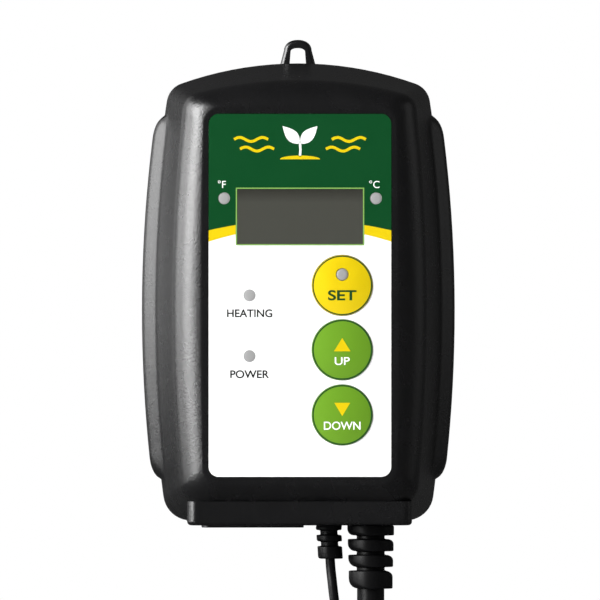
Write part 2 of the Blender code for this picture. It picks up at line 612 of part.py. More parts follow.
def outlet():
    """Two blade slots and a round ground hole, each opening into a chamber for its contact."""
    face = level(-OUTLET_PROUD)
    bm = bmesh.new()
    add_post(bm, rounded_rectangle(OUTLET_X, OUTLET_Y, OUTLET_HALF_X, OUTLET_HALF_Y, 2.0, 3),
             face, level(OUTLET_HEIGHT))
    insert = add_object("outlet_insert", bm, black_plastic())
    bm = bmesh.new()
    add_box(bm, (OUTLET_X - 14.8, OUTLET_Y - 12.7, level(WALL + GAP)),
            (OUTLET_X + 14.8, OUTLET_Y + 11.0, level(WALL + GAP + 2)))
    combine(insert, helper("outlet_flange", bm), "UNION")
    bm = bmesh.new()
    blades = {"line": (OUTLET_X - BLADE_SPACING / 2, 3.15),
              "neutral": (OUTLET_X + BLADE_SPACING / 2, 4.0)}
    for x, half in blades.values():
        add_box(bm, (x - 1.1, BLADES_Y - half, face - 1), (x + 1.1, BLADES_Y + half, level(3.2)))
    for x, _ in blades.values():
        add_box(bm, (x - 1.9, BLADES_Y - 4.6, level(3)), (x + 1.9, BLADES_Y + 4.6, level(26)))
    combine(insert, helper("outlet_slots", bm), "DIFFERENCE")
    bm = bmesh.new()
    ground_y = BLADES_Y + GROUND_OFFSET
    add_rod(bm, (OUTLET_X, ground_y, face - 1), (OUTLET_X, ground_y, level(26)), 2.75, 16)
    combine(insert, helper("outlet_ground_hole", bm), "DIFFERENCE")
    for name, (x, _) in blades.items():
        bm = bmesh.new()
        add_box(bm, (x - 1.6, BLADES_Y - 4, level(4)), (x + 1.6, BLADES_Y + 4, level(22)))
        clip = add_object("contact_" + name, bm, brass())
        bm = bmesh.new()
        add_box(bm, (x - 1.0, BLADES_Y - 5, level(3)), (x + 1.0, BLADES_Y + 5, level(20)))
        combine(clip, helper(name + "_gap", bm), "DIFFERENCE")
    bm = bmesh.new()
    add_rod(bm, (OUTLET_X, ground_y, level(4)), (OUTLET_X, ground_y, level(22)), 2.45, 16)
    tube = add_object("contact_ground", bm, brass())
    bm = bmesh.new()
    add_rod(bm, (OUTLET_X, ground_y, level(2)), (OUTLET_X, ground_y, level(20)), 1.9, 16)
    combine(tube, helper("ground_bore", bm), "DIFFERENCE")


def strain_relief(name, x, rib, core, neck, flange, long, ribs):
    """A rubber sleeve with ribs, held in the case's wall by its neck and inner flange."""
    pitch = long / (ribs - 0.35)
    profile = [(flange, level(WALL + GAP + 2)), (flange, level(WALL + GAP)),
               (neck, level(WALL + GAP)), (neck, level(-GAP))]
    for i in range(ribs):
        top = level(-GAP) - i * pitch
        low = max(top - 0.65 * pitch, level(-long))
        profile += [(rib - 0.5, top), (rib, top - 0.5), (rib, low + 0.5), (rib - 0.5, low)]
        if i < ribs - 1:
            profile += [(core, low), (core, top - pitch)]
    bm = bmesh.new()
    add_turned(bm, x, LEAD_Y, profile, 20)
    add_object(name, bm, black_rubber())


def smooth_route(route, spacing):
    """Points about spacing apart along a Catmull-Rom curve through the route."""
    points = [np.array(p, float) for p in route]
    points = [2 * points[0] - points[1], *points, 2 * points[-1] - points[-2]]
    fine = []
    for a, b, c, d in zip(points, points[1:], points[2:], points[3:]):
        steps = max(1, round(float(np.linalg.norm(c - b)) / spacing))
        for t in (i / steps for i in range(steps)):
            fine.append(0.5 * (2 * b + (c - a) * t + (2 * a - 5 * b + 4 * c - d) * t * t
                               + (3 * b - a - 3 * c + d) * t ** 3))
    return fine + [points[-2]]


def cord_tube(name, route, diameter):
    curve = bpy.data.curves.new(name, "CURVE")
    curve.dimensions = "3D"
    curve.bevel_depth = diameter / 2 * MM
    curve.bevel_resolution = 3 if diameter > 4 else 2
    curve.use_fill_caps = True
    points = smooth_route(route, 2 * diameter)
    line = curve.splines.new("POLY")
    line.points.add(len(points) - 1)
    for point, place in zip(line.points, points):
        point.co = (*(place * MM), 1)
    curve.materials.append(black_rubber())
    bpy.context.collection.objects.link(bpy.data.objects.new(name, curve))


def coil_place(coil, lead_x):
    """(centre x, centre z, inner radius, outer radius, half depth) of a coil below its lead. The
    lead bends out by 45 degrees and meets the outermost turn there."""
    outer_strand = coil["inner"] + (coil["radial"] - 1) * coil["d"]
    outer = outer_strand + coil["d"] / 2
    half = math.sqrt(0.5)
    x = lead_x + coil["bend"] * (1 - half) - outer_strand * half
    return x, coil["top"] - outer, coil["inner"] - coil["d"] / 2, outer, coil["deep"] * coil["d"] / 2


def cord_coil(name, coil, lead_x):
    x, z, inner, outer, half_deep = coil_place(coil, lead_x)
    y, c = coil["y"], coil["d"] * 0.3
    section = [(inner + c, y - half_deep), (outer - c, y - half_deep), (outer, y - half_deep + c),
               (outer, y + half_deep - c), (outer - c, y + half_deep), (inner + c, y + half_deep),
               (inner, y + half_deep - c), (inner, y - half_deep + c)]
    add_ring(name, section, x, z, 0, 2 * math.pi, 36)


def add_ring(name, section, x, z, start, end, steps):
    """A section of (radius, y) points turned about the line along Y through x and z."""
    closed = end - start > 6.28
    bm = bmesh.new()
    angles = [start + (end - start) * i / steps for i in range(steps if closed else steps + 1)]
    rings = [[bm.verts.new((x + r * math.cos(a), y, z + r * math.sin(a))) for r, y in section]
             for a in angles]
    pairs = list(zip(rings, rings[1:] + rings[:1] if closed else rings[1:]))
    for ring, following in pairs:
        for i in range(len(section)):
            j = (i + 1) % len(section)
            bm.faces.new((ring[i], ring[j], following[j], following[i]))
    if not closed:
        bm.faces.new(rings[0])
        bm.faces.new(rings[-1])
    return add_object(name, bm, black_rubber())


def cord_tie(name, coil, lead_x, angle, spread, thick):
    """A strap around the coil's turns: an outer block less the room for the turns."""
    x, z, inner, outer, half_deep = coil_place(coil, lead_x)

    def frame(room):
        y = coil["y"]
        return [(inner - room, y - half_deep - room), (outer + room, y - half_deep - room),
                (outer + room, y + half_deep + room), (inner - room, y + half_deep + room)]
    middle, half = math.radians(angle), math.radians(spread / 2)
    strap = add_ring(name, frame(GAP + thick), x, z, middle - half, middle + half, 3)
    room = add_ring(name + "_room", frame(GAP), x, z, middle - 2 * half, middle + 2 * half, 6)
    room.hide_render = True
    room.display_type = "WIRE"
    combine(strap, room, "DIFFERENCE")


def mains_lead():
    strain_relief("mains_strain_relief", MAINS_X, MAINS_RIB, MAINS_D / 2, 5.5, 7.0,
                  MAINS_RELIEF_LONG, MAINS_RIBS)
    cord_tube("mains_cable", MAINS_ROUTE, MAINS_D)
    cord_coil("mains_coil", MAINS_COIL, MAINS_X)
    cord_tie("mains_tie", MAINS_COIL, MAINS_X, 168, 18, 1.3)
    x, z, _, outer, _ = coil_place(MAINS_COIL, MAINS_X)
    tail_x, tail_y = x + outer - MAINS_D / 2, MAINS_COIL["y"] + MAINS_D / 2
    cord_tube("mains_tail", [(tail_x, tail_y, z - 25), (tail_x, tail_y, z - 29),
                             (tail_x, tail_y, PLUG_TOP + GAP)], MAINS_D)
    plug(tail_x, tail_y)


def plug(x, y):
    """Moulded plug: a tapered sleeve, a body with finger waist, two blades and a ground pin."""
    bm = bmesh.new()
    rings = [(4.9, 4.9, PLUG_TOP), (6.4, 6.4, PLUG_BODY_TOP + 1), (10.5, 9.0, PLUG_BODY_TOP - 2),
             (11.4, 9.8, PLUG_BODY_TOP - 8), (10.4, 9.2, PLUG_BODY_TOP - 14),
             (PLUG_HALF_X, PLUG_HALF_Y, PLUG_BODY_BOTTOM + 5),
             (PLUG_HALF_X, PLUG_HALF_Y, PLUG_BODY_BOTTOM)]
    add_loft(bm, [[(px, py, z) for px, py in
                   rounded_rectangle(x, y, hx, hy, 0.95 * min(hx, hy) if i < 2 else 5.0, 4)]
                  for i, (hx, hy, z) in enumerate(rings)])
    add_object("plug_body", bm, black_rubber())
    low = PLUG_BODY_BOTTOM - GAP
    for name, side in (("line", -1), ("neutral", 1)):
        bm = bmesh.new()
        middle = x + side * BLADE_SPACING / 2
        add_box(bm, (middle - 0.75, y - 7.2, low - BLADE_LONG), (middle + 0.75, y - 0.8, low))
        add_object("plug_blade_" + name, bm, brass())
    bm = bmesh.new()
    add_rod(bm, (x, y + 6.5, low), (x, y + 6.5, low - PIN_LONG), 2.4, 16)
    add_object("plug_ground_pin", bm, brass())


def probe_lead():
    strain_relief("probe_strain_relief", PROBE_X, PROBE_RIB, 2.3, 2.9, 3.9, PROBE_RELIEF_LONG,
                  PROBE_RIBS)
    cord_tube("probe_cable", PROBE_ROUTE, PROBE_D)
    lead_x = PROBE_ROUTE[3][0] + 0.5
    cord_coil("probe_coil", PROBE_COIL, lead_x)
    cord_tie("probe_tie", PROBE_COIL, lead_x, 102, 26, 0.8)
    x, z, _, outer, half_deep = coil_place(PROBE_COIL, lead_x)
    tail_x, tail_y = x + outer - PROBE_D / 2, PROBE_COIL["y"] - half_deep + PROBE_D / 2
    cord_tube("probe_tail", [(tail_x, tail_y, z - 10.8), (tail_x, tail_y, z - 14),
                             (tail_x, tail_y, TIP_TOP + GAP)], PROBE_D)
    bm = bmesh.new()
    low = TIP_TOP - TIP_LONG
    add_turned(bm, tail_x, tail_y, [(TIP_RADIUS - 0.3, TIP_TOP), (TIP_RADIUS, TIP_TOP - 0.5),
                                    (TIP_RADIUS, low + 2), (TIP_RADIUS * 0.8, low + 0.7),
                                    (TIP_RADIUS * 0.4, low)], 16)
    add_object("probe_tip", bm, steel())


for old in list(bpy.data.objects):
    bpy.data.objects.remove(old)
for build in (front_cover, rear_cover, label_overlay, display_window, light_pipes, keys,
              tact_switches, display_electronics, power_electronics, screws, rating_label, outlet,
              mains_lead, probe_lead):
    build()
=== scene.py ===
"""Looks of the hanging heat mat thermostat: its moulded case, printed label, keys, sleeves and leads.

Shapes are drawn in millimetres in the frame's axes and made in metres. The face looks along -Y.
"""

import math

import bmesh
import bpy
import numpy as np
from mathutils import Matrix, Vector


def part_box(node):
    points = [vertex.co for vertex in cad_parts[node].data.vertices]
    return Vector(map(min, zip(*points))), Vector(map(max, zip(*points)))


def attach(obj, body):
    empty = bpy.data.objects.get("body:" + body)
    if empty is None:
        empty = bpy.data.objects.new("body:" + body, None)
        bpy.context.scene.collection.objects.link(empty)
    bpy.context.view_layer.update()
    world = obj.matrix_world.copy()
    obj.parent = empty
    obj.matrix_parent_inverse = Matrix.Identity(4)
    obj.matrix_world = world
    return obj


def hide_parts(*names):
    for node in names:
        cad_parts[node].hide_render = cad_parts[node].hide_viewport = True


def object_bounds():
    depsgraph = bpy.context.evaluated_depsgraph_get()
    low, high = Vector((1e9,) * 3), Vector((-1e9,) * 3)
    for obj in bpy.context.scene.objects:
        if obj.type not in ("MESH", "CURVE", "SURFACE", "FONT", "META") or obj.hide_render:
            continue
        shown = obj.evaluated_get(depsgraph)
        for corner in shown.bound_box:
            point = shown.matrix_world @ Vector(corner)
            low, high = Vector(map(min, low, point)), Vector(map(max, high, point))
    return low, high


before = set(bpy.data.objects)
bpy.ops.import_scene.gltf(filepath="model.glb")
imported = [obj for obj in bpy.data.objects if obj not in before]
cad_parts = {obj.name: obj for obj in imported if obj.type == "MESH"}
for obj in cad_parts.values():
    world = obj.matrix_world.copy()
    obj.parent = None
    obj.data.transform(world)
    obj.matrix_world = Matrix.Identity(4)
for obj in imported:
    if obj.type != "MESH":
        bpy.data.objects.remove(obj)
cad_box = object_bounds()

MM = 0.001
BODY, SET, UP, DOWN = "case", "set_key", "up_key", "down_key"
GAP, WALL = 0.3, 2.0


def box_mm(node):
    low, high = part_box(node)
    return Vector(low) / MM, Vector(high) / MM


def middle_mm(node):
    """(centre, half size) of a node's box."""
    low, high = box_mm(node)
    return (low + high) / 2, (high - low) / 2


label_low, label_high = box_mm("label_overlay")
FACE_Y = label_low.y
CASE_DEPTH = -FACE_Y
CASE_BOTTOM = box_mm("front_cover")[0].z
JOINT_FRONT = box_mm("front_cover")[1].y
JOINT_REAR = box_mm("rear_cover")[0].y


# ---------------------------------------------------------------- camera, light and room

def aim(obj, target):
    obj.rotation_euler = (Vector(target) - obj.location).to_track_quat("-Z", "Y").to_euler()


FIELD, DISTANCE, AZIMUTH = 0.162, 3.0, math.radians(-0.95)
AIM_HEIGHT = 60.95
SOFTBOXES = (("left_front_softbox", (-1.1, -0.75, 0.37), 0.75, 35.5),
             ("left_side_softbox", (-1.3, 0.0, 0.36), 0.8, 14.5),
             ("left_back_softbox", (-1.0, 0.84, 0.36), 0.7, 2.3),
             ("right_side_fill", (1.3, -0.1, 0.36), 0.8, 0.6))  # place, width and watts
SOFTBOX_HEIGHT = 1.1
ROOM_LIGHT = 0.055
FLOOR_RADIUS, FLOOR_DROP = 1.3, 0.012


def camera():
    """Level view of the face from a little left of straight ahead, through a long lens."""
    data = bpy.data.cameras.new("camera")
    data.sensor_width = 36.0
    data.lens = data.sensor_width * DISTANCE / FIELD
    eye = bpy.data.objects.new("camera", data)
    target = Vector((0.0, FACE_Y * MM, level(AIM_HEIGHT) * MM))
    eye.location = target + DISTANCE * Vector((math.sin(AZIMUTH), -math.cos(AZIMUTH), 0.0))
    aim(eye, target)
    bpy.context.collection.objects.link(eye)
    bpy.context.scene.camera = eye


def area_light(name, place, target, width, height, power):
    data = bpy.data.lights.new(name, "AREA")
    data.shape = "RECTANGLE"
    data.size, data.size_y, data.energy = width, height, power
    lamp = bpy.data.objects.new(name, data)
    lamp.location = place
    aim(lamp, target)
    bpy.context.collection.objects.link(lamp)
    return lamp


def studio():
    """Tall softboxes at the left, weak fills, and a room that is white only where it is seen."""
    middle = (0, -0.02, -0.07)
    for name, place, width, power in SOFTBOXES:
        area_light(name, place, middle, width, SOFTBOX_HEIGHT, power)
    fill = area_light("front_fill", (0.3, -1.7, 0.5), middle, 0.9, 0.6, 3.6)
    fill.visible_glossy = False
    world = bpy.data.worlds.new("studio")
    bpy.context.scene.world = world
    world.use_nodes = True
    nodes, links = world.node_tree.nodes, world.node_tree.links
    nodes.clear()
    out = nodes.new("ShaderNodeOutputWorld")
    mix = nodes.new("ShaderNodeMixShader")
    seen, lit = nodes.new("ShaderNodeBackground"), nodes.new("ShaderNodeBackground")
    path = nodes.new("ShaderNodeLightPath")
    put(seen, Color=(1, 1, 1, 1))
    put(lit, Color=(1, 1, 1, 1), Strength=ROOM_LIGHT)
    links.new(path.outputs["Is Camera Ray"], mix.inputs[0])
    links.new(lit.outputs[0], mix.inputs[1])
    links.new(seen.outputs[0], mix.inputs[2])
    links.new(mix.outputs[0], out.inputs["Surface"])
    bpy.context.scene.view_settings.view_transform = "Standard"


def floor():
    bm = bmesh.new()
    bmesh.ops.create_circle(bm, cap_ends=True, segments=96, radius=FLOOR_RADIUS)
    mesh = bpy.data.meshes.new("floor")
    bm.to_mesh(mesh)
    bm.free()
    made = bpy.data.objects.new("floor", mesh)
    made.location.z = cad_box[0][2] - FLOOR_DROP
    bpy.context.collection.objects.link(made)
    made.data.materials.append(moulded("floor_paint", (0.86, 0.86, 0.86), 0.7, 40, 0.02, 0.02))
    made.visible_glossy = False


# ---------------------------------------------------------------- materials

def new_material(name):
    made = bpy.data.materials.new(name)
    made.use_nodes = True
    tree = made.node_tree
    return made, tree, tree.nodes["Principled BSDF"]


def put(node, **values):
    """Sets a node's inputs by name, with _ for a space."""
    for name, value in values.items():
        node.inputs[name.replace("_", " ")].default_value = value


def noise(tree, scale, detail=4.0, roughness=0.6, stretch=(1, 1, 1)):
    """Noise in the object's own metres, with scale in grains per metre."""
    place = tree.nodes.new("ShaderNodeTexCoord")
    sizing = tree.nodes.new("ShaderNodeMapping")
    put(sizing, Scale=stretch)
    grain = tree.nodes.new("ShaderNodeTexNoise")
    put(grain, Scale=scale, Detail=detail, Roughness=roughness)
    tree.links.new(place.outputs["Object"], sizing.inputs["Vector"])
    tree.links.new(sizing.outputs["Vector"], grain.inputs["Vector"])
    return grain


def spread_value(tree, source, low, high):
    """A noise's middle range turned into values from low to high."""
    ramp = tree.nodes.new("ShaderNodeMapRange")
    put(ramp, From_Min=0.3, From_Max=0.7, To_Min=low, To_Max=high)
    tree.links.new(source.outputs["Fac"], ramp.inputs["Value"])
    return ramp.outputs["Result"]


def add_bump(tree, shader, source, depth_mm, strength=1.0):
    bump = tree.nodes.new("ShaderNodeBump")
    put(bump, Strength=strength, Distance=depth_mm * MM)
    tree.links.new(source, bump.inputs["Height"])
    tree.links.new(bump.outputs["Normal"], shader.inputs["Normal"])


def mix_colors(tree, shader, first, second, share):
    mix = tree.nodes.new("ShaderNodeMix")
    mix.data_type = "RGBA"
    mix.inputs[6].default_value = (*first, 1)
    mix.inputs[7].default_value = (*second, 1)
    tree.links.new(share, mix.inputs[0])
    tree.links.new(mix.outputs[2], shader.inputs["Base Color"])


def tint(tree, shader, color, source, share):
    """The colour, darker and lighter by share where the noise says."""
    dark, light = ([min(1, c * (1 + sign * share)) for c in color] for sign in (-1, 1))
    mix_colors(tree, shader, dark, light, spread_value(tree, source, 0, 1))


def moulded(name, color, roughness, grain, depth_mm, share, gloss=0.5, metallic=0.0):
    """A moulded or painted surface: fine grain in relief, with uneven gloss and tone."""
    made, tree, shader = new_material(name)
    put(shader, Metallic=metallic, Specular_IOR_Level=gloss)
    broad, fine = noise(tree, 60.0, 3.0), noise(tree, grain)
    tint(tree, shader, color, broad, share)
    tree.links.new(spread_value(tree, broad, roughness * 0.92, roughness * 1.08),
                   shader.inputs["Roughness"])
    add_bump(tree, shader, fine.outputs["Fac"], depth_mm)
    return made


def eroded_plastic():
    """Black case plastic with a fine spark-eroded grain."""
    made, tree, shader = new_material("eroded_black_plastic")
    broad, fine = noise(tree, 90.0, 3.0), noise(tree, 2600.0, 3.0, 0.7)
    coarse = noise(tree, 1500.0, 2.0, 0.5)
    tint(tree, shader, (0.0046, 0.0046, 0.005), broad, 0.12)
    tree.links.new(spread_value(tree, broad, 0.25, 0.29), shader.inputs["Roughness"])
    put(shader, Specular_IOR_Level=0.8)
    both = tree.nodes.new("ShaderNodeMath")
    both.operation = "ADD"
    tree.links.new(fine.outputs["Fac"], both.inputs[0])
    tree.links.new(coarse.outputs["Fac"], both.inputs[1])
    add_bump(tree, shader, both.outputs[0], 0.06, 0.7)
    return made


def brushed_metal(name, color, roughness):
    made, tree, shader = new_material(name)
    put(shader, Metallic=1.0)
    lines, broad = noise(tree, 900.0, 3.0, 0.6, (1, 1, 0.06)), noise(tree, 120.0)
    tint(tree, shader, color, broad, 0.07)
    tree.links.new(spread_value(tree, lines, roughness * 0.8, roughness * 1.3),
                   shader.inputs["Roughness"])
    add_bump(tree, shader, lines.outputs["Fac"], 0.008)
    return made


def smoked_window():
    """Smoked display window, with painted shade along its upper edge, where the case shades it."""
    made, tree, shader = new_material("smoked_window")
    place = tree.nodes.new("ShaderNodeTexCoord")
    split = tree.nodes.new("ShaderNodeSeparateXYZ")
    ramp = tree.nodes.new("ShaderNodeMapRange")
    top = box_mm("display_window")[1].z
    put(ramp, From_Min=top * MM, From_Max=(top - 4.0) * MM)
    tree.links.new(place.outputs["Object"], split.inputs[0])
    tree.links.new(split.outputs["Z"], ramp.inputs["Value"])
    # painted shade: the base colour is darkest at the window's top edge and reaches its own smoked
    # tone 4 mm lower
    mix_colors(tree, shader, (0.026, 0.026, 0.021), (0.056, 0.057, 0.048), ramp.outputs["Result"])
    haze = noise(tree, 200.0)
    tree.links.new(spread_value(tree, haze, 0.16, 0.22), shader.inputs["Roughness"])
    add_bump(tree, shader, haze.outputs["Fac"], 0.002)
    return made


INK = {"green": (0.002, 0.057, 0.0135), "yellow": (0.69, 0.51, 0.003), "white": (0.95, 0.96, 0.95),
       "black": (0.006, 0.006, 0.006), "line": (0.20, 0.39, 0.09), "leaf": (0.130, 0.295, 0.017),
       "dark": (0.010, 0.06, 0.015)}


MOULDED = {"lamp": ("frosted_lamp", (0.32, 0.32, 0.32), 0.5, 1800, 0.01, 0.05),
           "rubber": ("sleeve_rubber", (0.004, 0.004, 0.0043), 0.36, 1400, 0.02, 0.15, 0.14),
           "cord": ("cord_jacket", (0.005, 0.005, 0.0054), 0.33, 900, 0.02, 0.12, 0.16),
           "strap": ("strap_nylon", (0.011, 0.011, 0.012), 0.55, 1600, 0.05, 0.2, 0.35),
           "board": ("solder_mask", (0.02, 0.16, 0.06), 0.35, 500, 0.03, 0.25),
           "component": ("component_plastic", (0.02, 0.035, 0.07), 0.45, 1500, 0.02, 0.2),
           "silver": ("silver_film", (0.55, 0.55, 0.56), 0.38, 1200, 0.006, 0.05, 0.5, 0.35)}


def make_materials():
    made = {"case": eroded_plastic(), "window": smoked_window(),
            "steel": brushed_metal("plated_steel", (0.60, 0.60, 0.61), 0.28),
            "brass": brushed_metal("drawn_brass", (0.78, 0.60, 0.27), 0.25)}
    for name, color in INK.items():
        made[name] = moulded("ink_" + name, color, 0.34, 2500, 0.004, 0.03, 0.25)
    for name, values in MOULDED.items():
        made[name] = moulded(*values)
    return made


# ---------------------------------------------------------------- mesh helpers

def level(height):
    """Z in millimetres of a height above the plinth's bottom edge."""
    return CASE_BOTTOM + height


def drawn_mesh(name, bm):
    """The mesh, in metres, of a bmesh drawn in millimetres."""
    bmesh.ops.recalc_face_normals(bm, faces=bm.faces)
    bmesh.ops.scale(bm, vec=(MM, MM, MM), verts=bm.verts)
    mesh = bpy.data.meshes.new(name)
    bm.to_mesh(mesh)
    bm.free()
    return mesh


def piece(name, bm, surface, node=None, body=BODY, smooth=40.0):
    """An object that rides with a body and stands for a CAD node, where one is given."""
    mesh = drawn_mesh(name, bm)
    mesh.shade_smooth()
    mesh.set_sharp_from_angle(angle=math.radians(smooth))
    mesh.materials.append(surface)
    made = bpy.data.objects.new(name, mesh)
    bpy.context.collection.objects.link(made)
    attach(made, body)
    if node:
        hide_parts(node)
    return made


def carve(target, bm, operation="DIFFERENCE"):
    """Cuts the drawn shapes out of a piece, or joins them to it, and keeps only the result."""
    mesh = drawn_mesh("tool", bm)
    tool = bpy.data.objects.new("tool", mesh)
    bpy.context.collection.objects.link(tool)
    step = target.modifiers.new("step", "BOOLEAN")
    step.operation, step.solver, step.object = operation, "EXACT", tool
    bake_modifiers(target)
    bpy.data.objects.remove(tool)
    bpy.data.meshes.remove(mesh)


def bake_modifiers(target):
    """Replaces a piece's mesh by the mesh that its modifiers make."""
    bpy.context.view_layer.update()
    graph = bpy.context.evaluated_depsgraph_get()
    made = bpy.data.meshes.new_from_object(target.evaluated_get(graph))
    target.modifiers.clear()
    target.data = made


def soften(target, width, segments=2, angle=40.0):
    """Rounds the sharp edges of a piece."""
    step = target.modifiers.new("soften", "BEVEL")
    step.width, step.segments = width * MM, segments
    step.limit_method, step.angle_limit = "ANGLE", math.radians(angle)
    bake_modifiers(target)
    target.data.set_sharp_from_angle(angle=math.radians(50))
    flatten_shading(target)


def flatten_shading(target):
    """Large flat faces keep their own normals, and small rounded ones next to them bend."""
    step = target.modifiers.new("normals", "WEIGHTED_NORMAL")
    step.keep_sharp = True
    bake_modifiers(target)


def add_box(bm, low, high):
    size, middle = Vector(high) - Vector(low), (Vector(high) + Vector(low)) / 2
    bmesh.ops.create_cube(bm, size=1, matrix=Matrix.Translation(middle) @ Matrix.Diagonal((*size, 1)))


def add_rod(bm, start, end, radius, sides=48):
    start, end = Vector(start), Vector(end)
    turn = (end - start).to_track_quat("Z", "Y").to_matrix().to_4x4()
    bmesh.ops.create_cone(bm, cap_ends=True, segments=sides, radius1=radius, radius2=radius,
                          depth=(end - start).length,
                          matrix=Matrix.Translation((start + end) / 2) @ turn)


def add_loft(bm, rings, closed=False):
    """Skin through rings of equally many points, capped at its ends or closed on itself."""
    rows = [[bm.verts.new(point) for point in ring] for ring in rings]
    pairs = list(zip(rows, rows[1:] + rows[:1])) if closed else list(zip(rows, rows[1:]))
    for row, following in pairs:
        for i in range(len(row)):
            j = (i + 1) % len(row)
            bm.faces.new((row[i], row[j], following[j], following[i]))
    if not closed:
        bm.faces.new(rows[0])
        bm.faces.new(rows[-1])


def add_turned(bm, centre, profile, axis="z", sides=48):
    """A solid turned about the line along Z or Y through centre, from (radius, place) points."""
    rings = []
    for r, along in profile:
        ring = []
        for i in range(sides):
            u, v = r * math.cos(2 * math.pi * i / sides), r * math.sin(2 * math.pi * i / sides)
            ring.append((centre[0] + u, centre[1] + v, along) if axis == "z"
                        else (centre[0] + u, along, centre[1] + v))
        rings.append(ring)
    add_loft(bm, rings)


def rounded_rectangle(x, z, half_x, half_z, radius, steps=8):
    points = []
    for corner, (sx, sz) in enumerate(((1, 1), (-1, 1), (-1, -1), (1, -1))):
        for step in range(steps + 1):
            angle = math.pi / 2 * (corner + step / steps)
            points.append((x + sx * (half_x - radius) + radius * math.cos(angle),
                           z + sz * (half_z - radius) + radius * math.sin(angle)))
    return points


def add_plate(bm, outline, y_front, y_back):
    add_loft(bm, [[(x, y, z) for x, z in outline] for y in (y_front, y_back)])


def add_post(bm, outline, z_low, z_high):
    add_loft(bm, [[(x, y, z) for x, y in outline] for z in (z_low, z_high)])


# ---------------------------------------------------------------- the case

CASE = dict(half_width=40.1, side_radius=383.0, side_level=58.0, top=125.4, top_radius=95.0,
            bottom=0.9, top_corner=6.0, bottom_corner=7.5)
FACE = dict(half_width=26.3, side_radius=2500.0, side_level=58.0, top=113.4, top_radius=600.0,
            bottom=11.2, top_corner=5.0, bottom_corner=5.0)
SHOULDER_WIDTH, SHOULDER_RADIUS, SHOULDER_START = 13.0, 8.0, math.radians(15)
SIDE_DRAFT, BACK_EDGE = math.radians(14.5), 3.0
PARTING = 12.0
WING_STANDS, WING_DEPTH, WING_BLEND = 2.5, 21.0, 4.0
WING_LOW, WING_HIGH, WING_RAMP = 12.4, 110.8, 5.5
PLINTH_HALF, PLINTH_FRONT, PLINTH_TOP, PLINTH_CORNER = 30.4, 35.2, 6.5, 2.5
FOOT_ROUND = 1.0
BOSS_RADIUS, SCREW_HOLE, COUNTERBORE, COUNTERBORE_Y = 4.4, 1.7, 3.2, -4.0
SIDE_START, FRONT_WALL, RECESS, KEY_HOLE, LAMP_HOLE = 8.5, 2.7, 0.7, 8.5, 2.05
LOOP_Y = (-4.0, -0.1)
LOOP = dict(foot=(4.75, -4.4), shoulder_at=(3.75, -0.6), crest=2.2, rise=2.8, root=-12)
LOOP_EYE = dict(foot=(2.25, -4.3), shoulder_at=(2.0, -0.9), crest=0.0, rise=1.0, root=-4.38)
OUTLET_HALF_X, OUTLET_HALF_Y = 13.8, 11.5
LABEL_CORNER = 2.7
COVER_SCREWS = ((-27.0, 31.0), (27.0, 31.0), (-24.0, 108.5), (24.0, 108.5))


def arc(centre, radius, start, end, fractions):
    return [(centre[0] + radius * math.cos(start + f * (end - start)),
             centre[1] + radius * math.sin(start + f * (end - start))) for f in fractions]


def even(count, first=0.0):
    return [first + (1 - first) * i / count for i in range(count + 1)]


def quarter(steps):
    """Angles from 0 to 90 degrees."""
    return [math.pi / 2 * f for f in even(steps)]


def right_half(shape, inset):
    """Points (x, height) up the right half of an outline that is moved in by inset."""
    side_r, top_r = shape["side_radius"] - inset, shape["top_radius"] - inset
    side_c = (shape["half_width"] - shape["side_radius"], shape["side_level"])
    top_c = (0.0, shape["top"] - shape["top_radius"])
    low_r, high_r = (max(shape[k] - inset, 1.0) for k in ("bottom_corner", "top_corner"))
    low_z = shape["bottom"] + inset + low_r
    low_c = (side_c[0] + math.sqrt((side_r - low_r) ** 2 - (low_z - side_c[1]) ** 2), low_z)
    # The upper corner's centre is where the two arcs, moved in by its radius, cross.
    a, b = side_r - high_r, top_r - high_r
    across, up = top_c[0] - side_c[0], top_c[1] - side_c[1]
    apart = math.hypot(across, up)
    along = (a * a - b * b + apart * apart) / (2 * apart)
    off = math.sqrt(a * a - along * along)
    high_c = (side_c[0] + (along * across - off * up) / apart,
              side_c[1] + (along * up + off * across) / apart)
    low_turn = math.atan2(low_c[1] - side_c[1], low_c[0] - side_c[0])
    high_turn = math.atan2(high_c[1] - side_c[1], high_c[0] - side_c[0])
    top_turn = math.atan2(high_c[1] - top_c[1], high_c[0] - top_c[0])
    points = [(low_c[0] * f, shape["bottom"] + inset) for f in (0.0, 0.25, 0.5, 0.75)]
    points += arc(low_c, low_r, -math.pi / 2, low_turn, even(10)[:-1])
    ramp, middle = list(np.linspace(0.02, 0.1, 11)), list(np.linspace(0.14, 0.86, 16))
    points += arc(side_c, side_r, low_turn, high_turn,
                  [0.0, *ramp, *middle, *(1 - f for f in reversed(ramp)), 1.0])
    points += arc(high_c, high_r, high_turn, top_turn, even(9)[1:])
    return points + arc(top_c, top_r, top_turn, math.pi / 2, even(9)[1:])


def clamp(value):
    return min(max(value, 0.0), 1.0)


def smooth_step(value):
    value = clamp(value)
    return value * value * (3 - 2 * value)


def quarter_round(value):
    return math.sqrt(1 - (1 - clamp(value)) ** 2)


def wing_share(height):
    rise = quarter_round((height - WING_LOW) / WING_RAMP)
    return rise * quarter_round((WING_HIGH - height) / WING_RAMP)


def case_ring(depth, spread, wing, inset=0.0, shave=0.0):
    """One ring around the case, depth behind its face. spread is 0 at the flat face's edge and 1 at
    the outline, and shave draws the whole ring in at the back edge."""
    face, case = right_half(FACE, inset), right_half(CASE, inset + shave)
    points = []
    for (fx, fz), (cx, cz) in zip(face, case):
        x, z = fx + spread * (cx - fx), fz + spread * (cz - fz)
        bulge = wing * WING_STANDS * wing_share(z) if x > 0.5 * FACE["half_width"] else 0.0
        points.append((x + bulge, depth - CASE_DEPTH, level(z)))
    return points + [(-x, y, z) for x, y, z in reversed(points[1:-1])]


